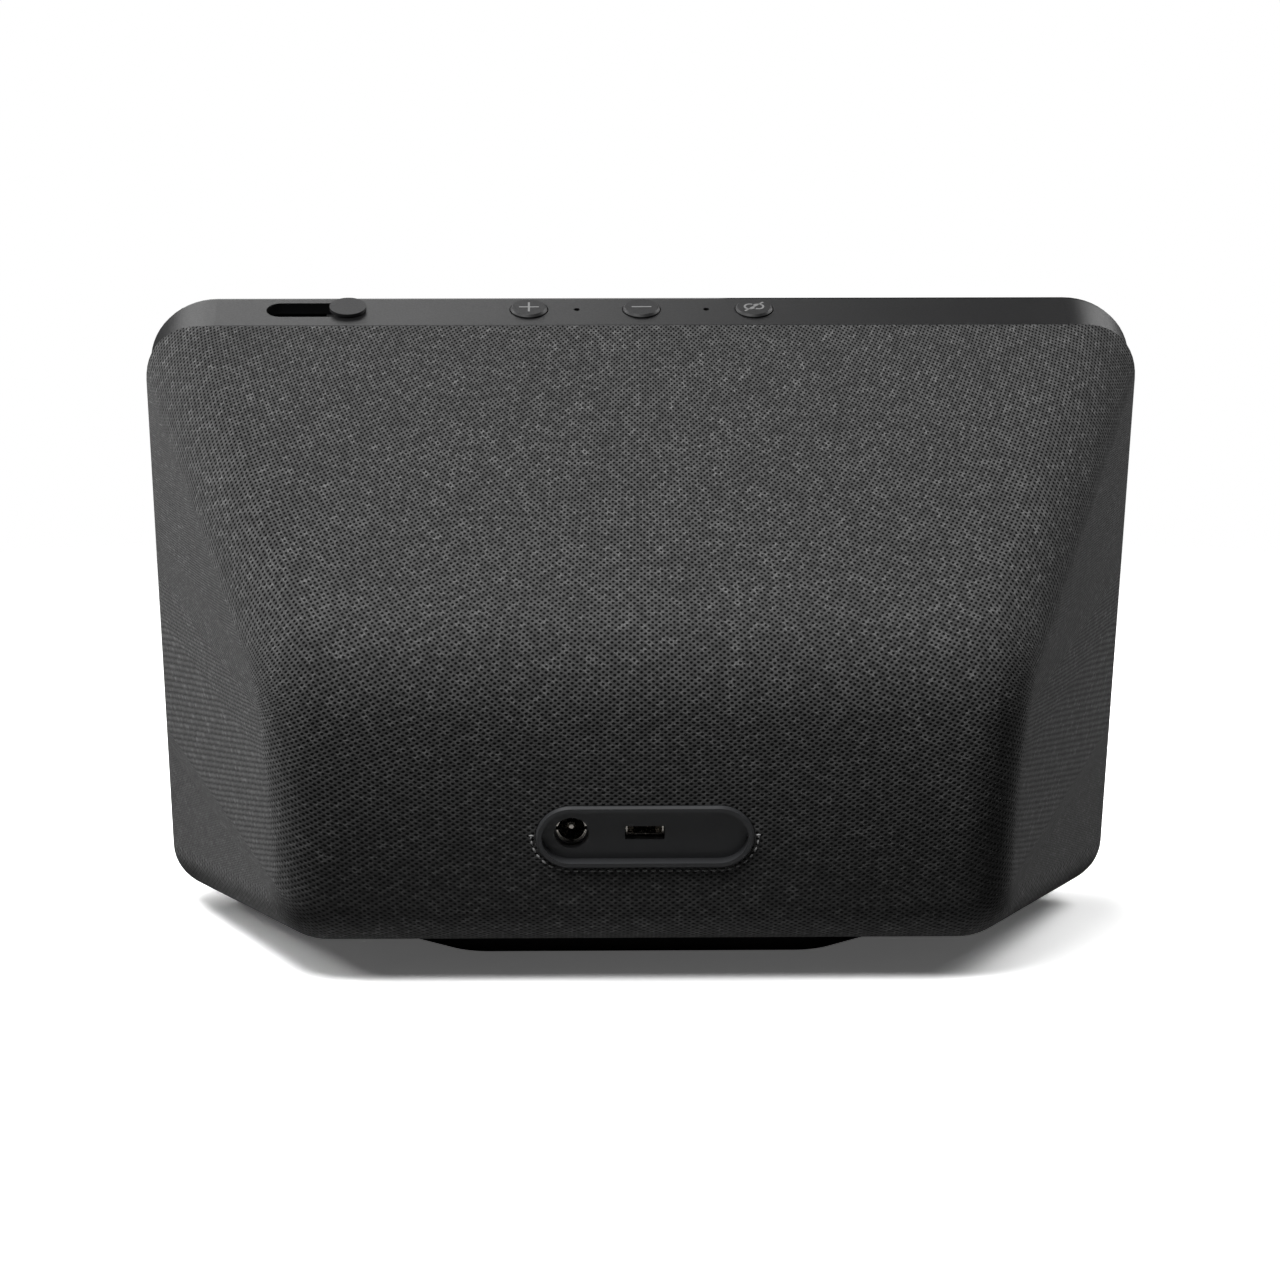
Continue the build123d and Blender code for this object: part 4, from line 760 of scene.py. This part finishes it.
def plated(name, code, roughness, mark_mm, stretch=1.0):
    """A metal finish with marks of a real size, stretched along the object's width."""
    finish, tree, surface = new_finish(
        name, Base_Color=srgb(code), Roughness=roughness, Metallic=1.0
    )
    spot = add(tree, "ShaderNodeTexCoord")
    drawn = add(
        tree, "ShaderNodeMapping",
        {"Vector": spot.outputs["Object"], "Scale": (1 / stretch, 1.0, 1.0)},
    )
    marks = add(
        tree, "ShaderNodeTexNoise",
        {"Vector": drawn.outputs[0], "Scale": 1 / (mark_mm * MM), "Detail": 4.0},
    )
    gloss = add(
        tree, "ShaderNodeMapRange",
        {"Value": marks.outputs[0], "From Min": NOISE_LOW, "From Max": NOISE_HIGH,
         "To Min": roughness * (1 - MARK_GLOSS), "To Max": roughness * (1 + MARK_GLOSS)},
    )
    shade = add(
        tree, "ShaderNodeMapRange",
        {"Value": marks.outputs[0], "From Min": NOISE_LOW, "From Max": NOISE_HIGH,
         "To Min": 1 - MARK_SHADE, "To Max": 1 + MARK_SHADE},
    )
    tinted = add(
        tree, "ShaderNodeVectorMath",
        {0: srgb(code)[:3], "Scale": shade.outputs[0]}, operation="SCALE",
    )
    tree.links.new(tinted.outputs[0], surface.inputs["Base Color"])
    tree.links.new(gloss.outputs[0], surface.inputs["Roughness"])
    return finish


FINISHES |= {
    "chassis_metal": plated("rolled_aluminium_sheet", "#b9babd", 0.38, 0.6, 12.0),
    "spreader": plated("stamped_aluminium_sheet", "#c3c4c6", 0.34, 0.8, 8.0),
    "piston_metal": plated("stamped_aluminium_plate", "#a9aaac", 0.4, 0.8, 6.0),
    "screw_steel": plated("zinc_plated_steel", "#9a9b9e", 0.35, 0.5),
    "motor_steel": plated("zinc_plated_motor_steel", "#8f9094", 0.4, 0.9),
    "nickel": plated("bright_nickel_plate", "#cfcac2", 0.22, 0.6),
    "mic_can": plated("stamped_nickel_silver", "#b5b2aa", 0.3, 0.5),
    "coil_copper": plated("enamelled_copper_wire", "#b06a3c", 0.35, 0.2, 6.0),
}
print(len(FINISHES), "finishes with the metals")

# %% [markdown]
# ## Glass
# The front is one sheet of strengthened glass over a black printed border. With the display
# off, the printed ink is deepest black and the panel behind the glass is a trace lighter
# and bluer, which the eye finds only at a low angle. The map below works in the screen's own
# lean, so the window stays square to it.

# %% Glass finishes
WINDOW_HALF = (83.0, 52.0)      # mm, half the lit area's width and height
WINDOW_MIDDLE = SCREEN_LENGTH / 2
CAMERA_PLACE = (72.9, 129.8)    # mm, across and up the screen
CAMERA_EYE_R = 2.4              # mm
PRINTED_INK, SLEEPING_PANEL, CAMERA_EYE = (
    srgb(code) for code in ("#040405", "#0d0e11", "#1d2130")
)
SMEAR_MM = 25                   # size of the wiped patches


def screen_glass():
    """Black-bordered cover glass with the sleeping display showing through."""
    finish, tree, surface = new_finish(
        "black_printed_cover_glass", Base_Color=PRINTED_INK, Roughness=0.04, IOR=1.51
    )
    spot = add(tree, "ShaderNodeTexCoord")
    centre = Vector((foot_edge + UP * WINDOW_MIDDLE) * MM)
    moved = add(
        tree, "ShaderNodeVectorMath",
        {0: spot.outputs["Object"], 1: centre}, operation="SUBTRACT",
    )
    upright = add(
        tree, "ShaderNodeMapping", {"Vector": moved.outputs[0], "Rotation": (TILT, 0, 0)}
    )
    size = add(tree, "ShaderNodeVectorMath", {0: upright.outputs[0]}, operation="ABSOLUTE")
    split = add(tree, "ShaderNodeSeparateXYZ", {0: size.outputs[0]})
    in_width = add(
        tree, "ShaderNodeMath", {0: split.outputs[0], 1: WINDOW_HALF[0] * MM},
        operation="LESS_THAN",
    )
    in_height = add(
        tree, "ShaderNodeMath", {0: split.outputs[2], 1: WINDOW_HALF[1] * MM},
        operation="LESS_THAN",
    )
    window = add(
        tree, "ShaderNodeMath", {0: in_width.outputs[0], 1: in_height.outputs[0]},
        operation="MULTIPLY",
    )
    smear = add(
        tree, "ShaderNodeTexNoise",
        {"Vector": spot.outputs["Object"], "Scale": 1 / (SMEAR_MM * MM), "Detail": 5.0},
    )
    touch = add(
        tree, "ShaderNodeMapRange",
        {"Value": smear.outputs[0], "From Min": 0.45, "From Max": 0.75,
         "To Min": 0.03, "To Max": 0.12},
    )
    colour = add(
        tree, "ShaderNodeMix",
        {0: window.outputs[0], 6: PRINTED_INK, 7: SLEEPING_PANEL}, data_type="RGBA",
    )
    eye = Vector((foot_edge + UP * CAMERA_PLACE[1]) * MM)
    eye = eye + Vector((CAMERA_PLACE[0] * MM, 0, 0))
    in_plane = add(
        tree, "ShaderNodeVectorMath", {0: spot.outputs["Object"], 1: eye}, operation="SUBTRACT"
    )
    along_glass = [
        add(
            tree, "ShaderNodeVectorMath", {0: in_plane.outputs[0], 1: tuple(axis)},
            operation="DOT_PRODUCT",
        ).outputs["Value"]
        for axis in ((1, 0, 0), UP)
    ]
    eye_spot = add(tree, "ShaderNodeCombineXYZ", {0: along_glass[0], 1: along_glass[1]})
    eye_reach = add(
        tree, "ShaderNodeVectorMath", {0: eye_spot.outputs[0]}, operation="LENGTH"
    )
    in_eye = add(
        tree, "ShaderNodeMath",
        {0: eye_reach.outputs["Value"], 1: CAMERA_EYE_R * MM}, operation="LESS_THAN",
    )
    with_eye = add(
        tree, "ShaderNodeMix",
        {0: in_eye.outputs[0], 6: colour.outputs[2], 7: CAMERA_EYE}, data_type="RGBA",
    )
    tree.links.new(with_eye.outputs[2], surface.inputs["Base Color"])
    tree.links.new(touch.outputs[0], surface.inputs["Roughness"])
    return finish


FINISHES |= {
    "cover_glass": screen_glass(),
    "lcd": moulded("display_laminate", "#0b0c10", 0.12, 2.0, 0.002),
    "lens": moulded("coated_lens_glass", "#0a0c18", 0.05, 1.0, 0.001, 0.3),
}
print(len(FINISHES), "finishes with the glass")

# %% [markdown]
# ## Stitching round the port
# The knit's cut edge is held down below the port by a line of running stitches in a paler
# thread. Modelling forty stitches by hand is dull and uneven, so Geometry Nodes walk along
# the edge, set one small capsule at every pitch and turn it to the line. The tree is built
# once with named inputs, then turned into a plain mesh, because the export drops instances.

# %% A tree that sews
THREAD_PITCH, THREAD_LENGTH, THREAD_WIDTH = 1.7, 1.15, 0.42       # mm
STITCH_SEED = 7


def sewing_tree(name, finish):
    """Running stitches along a curve: sizes are inputs, and the seed is fixed."""
    tree = bpy.data.node_groups.new(name, "GeometryNodeTree")
    tree.interface.new_socket("Path", in_out="INPUT", socket_type="NodeSocketGeometry")
    for label in ("Pitch", "Stitch length", "Stitch width"):
        tree.interface.new_socket(label, in_out="INPUT", socket_type="NodeSocketFloat")
    tree.interface.new_socket("Stitches", in_out="OUTPUT", socket_type="NodeSocketGeometry")
    given = add(tree, "NodeGroupInput").outputs
    marks = add(
        tree, "GeometryNodeResampleCurve", {"Curve": given["Path"], "Length": given["Pitch"]},
        mode="LENGTH",
    )
    bead = add(tree, "GeometryNodeMeshUVSphere", {"Segments": 8, "Rings": 6, "Radius": 0.5})
    long_bead = add(
        tree, "ShaderNodeCombineXYZ",
        {0: given["Stitch length"], 1: given["Stitch width"], 2: given["Stitch width"]},
    )
    capsule = add(
        tree, "GeometryNodeTransform",
        {"Geometry": bead.outputs[0], "Scale": long_bead.outputs[0]},
    )
    along = add(tree, "GeometryNodeInputTangent")
    turn = add(
        tree, "FunctionNodeAlignRotationToVector", {"Vector": along.outputs[0]}, axis="X"
    )
    uneven = add(
        tree, "FunctionNodeRandomValue",
        {"Min": (0.85, 0.9, 0.9), "Max": (1.12, 1.1, 1.1), "Seed": STITCH_SEED},
        data_type="FLOAT_VECTOR",
    )
    sewn = add(
        tree, "GeometryNodeInstanceOnPoints",
        {"Points": marks.outputs[0], "Instance": capsule.outputs[0],
         "Rotation": turn.outputs[0], "Scale": uneven.outputs[0]},
    )
    real = add(tree, "GeometryNodeRealizeInstances", {"Geometry": sewn.outputs[0]})
    shaded = add(
        tree, "GeometryNodeSetMaterial", {"Geometry": real.outputs[0], "Material": finish}
    )
    add(tree, "NodeGroupOutput", {"Stitches": shaded.outputs[0]})
    return tree


print("a stitch every", THREAD_PITCH, "mm, with seed", STITCH_SEED)

# %% Run a tree along a path


def sew(name, path, tree, sizes):
    """Runs the sewing tree along a path of points and returns the stitches as a plain mesh."""
    curve = bpy.data.curves.new(name, "CURVE")
    curve.dimensions = "3D"
    spline = curve.splines.new("POLY")
    spline.points.add(len(path) - 1)
    for point, place_on in zip(spline.points, path):
        point.co = (*place_on, 1)
    guide = bpy.data.objects.new(name + "_guide", curve)
    bpy.context.scene.collection.objects.link(guide)
    walk = guide.modifiers.new("sewing", "NODES")
    walk.node_group = tree
    for item in tree.interface.items_tree:
        if item.name in sizes:
            walk[item.identifier] = sizes[item.name] * MM
    guide.update_tag()
    graph = bpy.context.evaluated_depsgraph_get()
    mesh = bpy.data.meshes.new_from_object(guide.evaluated_get(graph))
    bpy.data.objects.remove(guide)
    mesh.name = name
    piece = bpy.data.objects.new(name, mesh)
    bpy.context.scene.collection.objects.link(piece)
    mesh.shade_smooth()
    return piece


print("ready to sew")

# %% Sew below the port
THREAD_OUT, THREAD_SINK = 0.85, 0.02       # mm beyond the port's edge, and into the cloth
HEM_RISE = 0.1                             # of the width, how far the line climbs the ends
TWIST_MM = 0.5
thread, thread_tree, thread_shader = new_finish(
    "twisted_polyester_thread", Roughness=0.7, Sheen_Weight=0.3
)
thread_spot = add(thread_tree, "ShaderNodeTexCoord").outputs["Object"]
thread_twist = add(
    thread_tree, "ShaderNodeTexNoise",
    {"Vector": thread_spot, "Scale": 1 / (TWIST_MM * MM), "Detail": 2.0},
)
thread_shade = add(
    thread_tree, "ShaderNodeMix",
    {0: thread_twist.outputs[0], 6: srgb("#b0b0b0"), 7: srgb("#dadada")}, data_type="RGBA",
)
thread_tree.links.new(thread_shade.outputs[2], thread_shader.inputs["Base Color"])
hem_width = PORT_SIZE[1] + 2 * THREAD_OUT
hem = slot_outline(PORT_SIZE[0] + 2 * THREAD_OUT, hem_width, SLOT_STEPS)
lower_hem = sorted(
    (point for point in hem if point[1] < HEM_RISE * hem_width), key=lambda point: point[0]
)
hem_path = [
    on_port(x, y, -y * y / (2 * RADII[1]) - THREAD_SINK) for x, y in lower_hem
]
hem_stitches = sew(
    "port_hem_stitches", hem_path, sewing_tree("running_stitch", thread),
    {"Pitch": THREAD_PITCH, "Stitch length": THREAD_LENGTH, "Stitch width": THREAD_WIDTH},
)
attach(hem_stitches, "root")
print("stitches:", len(hem_stitches.data.polygons), "faces")

# %% [markdown]
# ## Marks on the keys
# A plus, a minus and a crossed-out pair of rings are pad-printed on the keys in pale grey ink.
# Each is a ribbon a few hundredths of a millimetre thick that rides its own key, so the mark
# goes down when the key is pressed. A ribbon is drawn as a path and given width in code,
# which keeps its ends square and its thickness real.

# %% Ink and strokes
KEY_X = {"volume_up": 22.8, "volume_down": 0.0, "mute": -22.8}
KEY_LINE, KEY_PROUD, INK_THICK, INK_WIDTH = 6.0, 0.6, 0.03, 0.42     # mm
PLUS, RING_R, SLASH = 2.0, 1.05, 1.9     # mm, half the bars, a ring's radius, half the slash
SPECK_MM = 0.25
ink, ink_tree, ink_shader = new_finish("pale_grey_pad_printing_ink", Roughness=0.5)
ink_spot = add(ink_tree, "ShaderNodeTexCoord").outputs["Object"]
ink_speck = add(
    ink_tree, "ShaderNodeTexNoise",
    {"Vector": ink_spot, "Scale": 1 / (SPECK_MM * MM), "Detail": 2.0},
)
ink_shade = add(
    ink_tree, "ShaderNodeMix",
    {0: ink_speck.outputs[0], 6: srgb("#737373"), 7: srgb("#8b8b8b")}, data_type="RGBA",
)
ink_tree.links.new(ink_shade.outputs[2], ink_shader.inputs["Base Color"])


def arc(x, y, radius, start, end, steps=14):
    """Points along an arc, in degrees, on a key's face."""
    turns = [math.radians(start + (end - start) * i / steps) for i in range(steps + 1)]
    return [(x + radius * math.cos(t), y + radius * math.sin(t)) for t in turns]


def print_on_key(key, strokes):
    """Ribbons of ink on one key: x runs to the viewer's right and y towards the glass."""
    middle = head_edge + REAR * (KEY_LINE - HOUSING_DEPTH) + UP * KEY_PROUD
    middle = middle + np.array([KEY_X[key], 0, 0])
    ribbon = bmesh.new()
    for stroke in strokes:
        line = [Vector(p) for p in stroke]
        rows = []
        for i, here in enumerate(line):
            ahead = line[min(i + 1, len(line) - 1)] - line[max(i - 1, 0)]
            side = Vector((-ahead.y, ahead.x)).normalized() * INK_WIDTH / 2
            row = []
            for flat, height in ((here + side, 0), (here - side, 0),
                                 (here - side, INK_THICK), (here + side, INK_THICK)):
                spot = middle + np.array([-flat.x, 0, 0]) - REAR * flat.y + UP * height
                row.append(ribbon.verts.new(Vector(spot) * MM))
            rows.append(row)
        for low, high in zip(rows, rows[1:]):
            for k in range(4):
                ribbon.faces.new((low[k], low[k - 1], high[k - 1], high[k]))
        ribbon.faces.new(rows[0])
        ribbon.faces.new(rows[-1][::-1])
    bmesh.ops.recalc_face_normals(ribbon, faces=ribbon.faces)
    mesh = bpy.data.meshes.new(key + "_mark")
    ribbon.to_mesh(mesh)
    ribbon.free()
    mesh.materials.append(ink)
    mark = bpy.data.objects.new(key + "_mark", mesh)
    bpy.context.scene.collection.objects.link(mark)
    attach(mark, key)
    return mark


print("ink lines are", INK_WIDTH, "mm wide")

# %% Print the three keys
RING_APART = 0.85                                # mm from the middle to each ring's centre
LEFT_RING, RIGHT_RING = (60, 330), (-120, 150)   # degrees, each open where the slash passes
bar = [(-PLUS, 0.0), (PLUS, 0.0)]
gap = INK_WIDTH / 2
upright_bar = [[(0.0, -PLUS), (0.0, -gap)], [(0.0, gap), (0.0, PLUS)]]
rings = [
    arc(-RING_APART, 0.0, RING_R, *LEFT_RING), arc(RING_APART, 0.0, RING_R, *RIGHT_RING)
]
slash = [(-SLASH, -SLASH), (SLASH, SLASH)]
marks = [
    print_on_key("volume_up", [bar, *upright_bar]),
    print_on_key("volume_down", [bar]),
    print_on_key("mute", [*rings, slash]),
]
print("marks:", [mark.name for mark in marks])

# %% [markdown]
# ## Dressing the engineering parts
# Each part arrives with a plain material that is named after its slot. Its shape is right, so
# it keeps its mesh and only the material in each slot is swapped for the finish made above.

# %% Dress the engineering parts
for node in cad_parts.values():
    for slot in node.material_slots:
        slot.material = FINISHES.get(slot.material.name, knit_finish)
print("dressed", len(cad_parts), "parts in", len(FINISHES) + 1, "finishes")
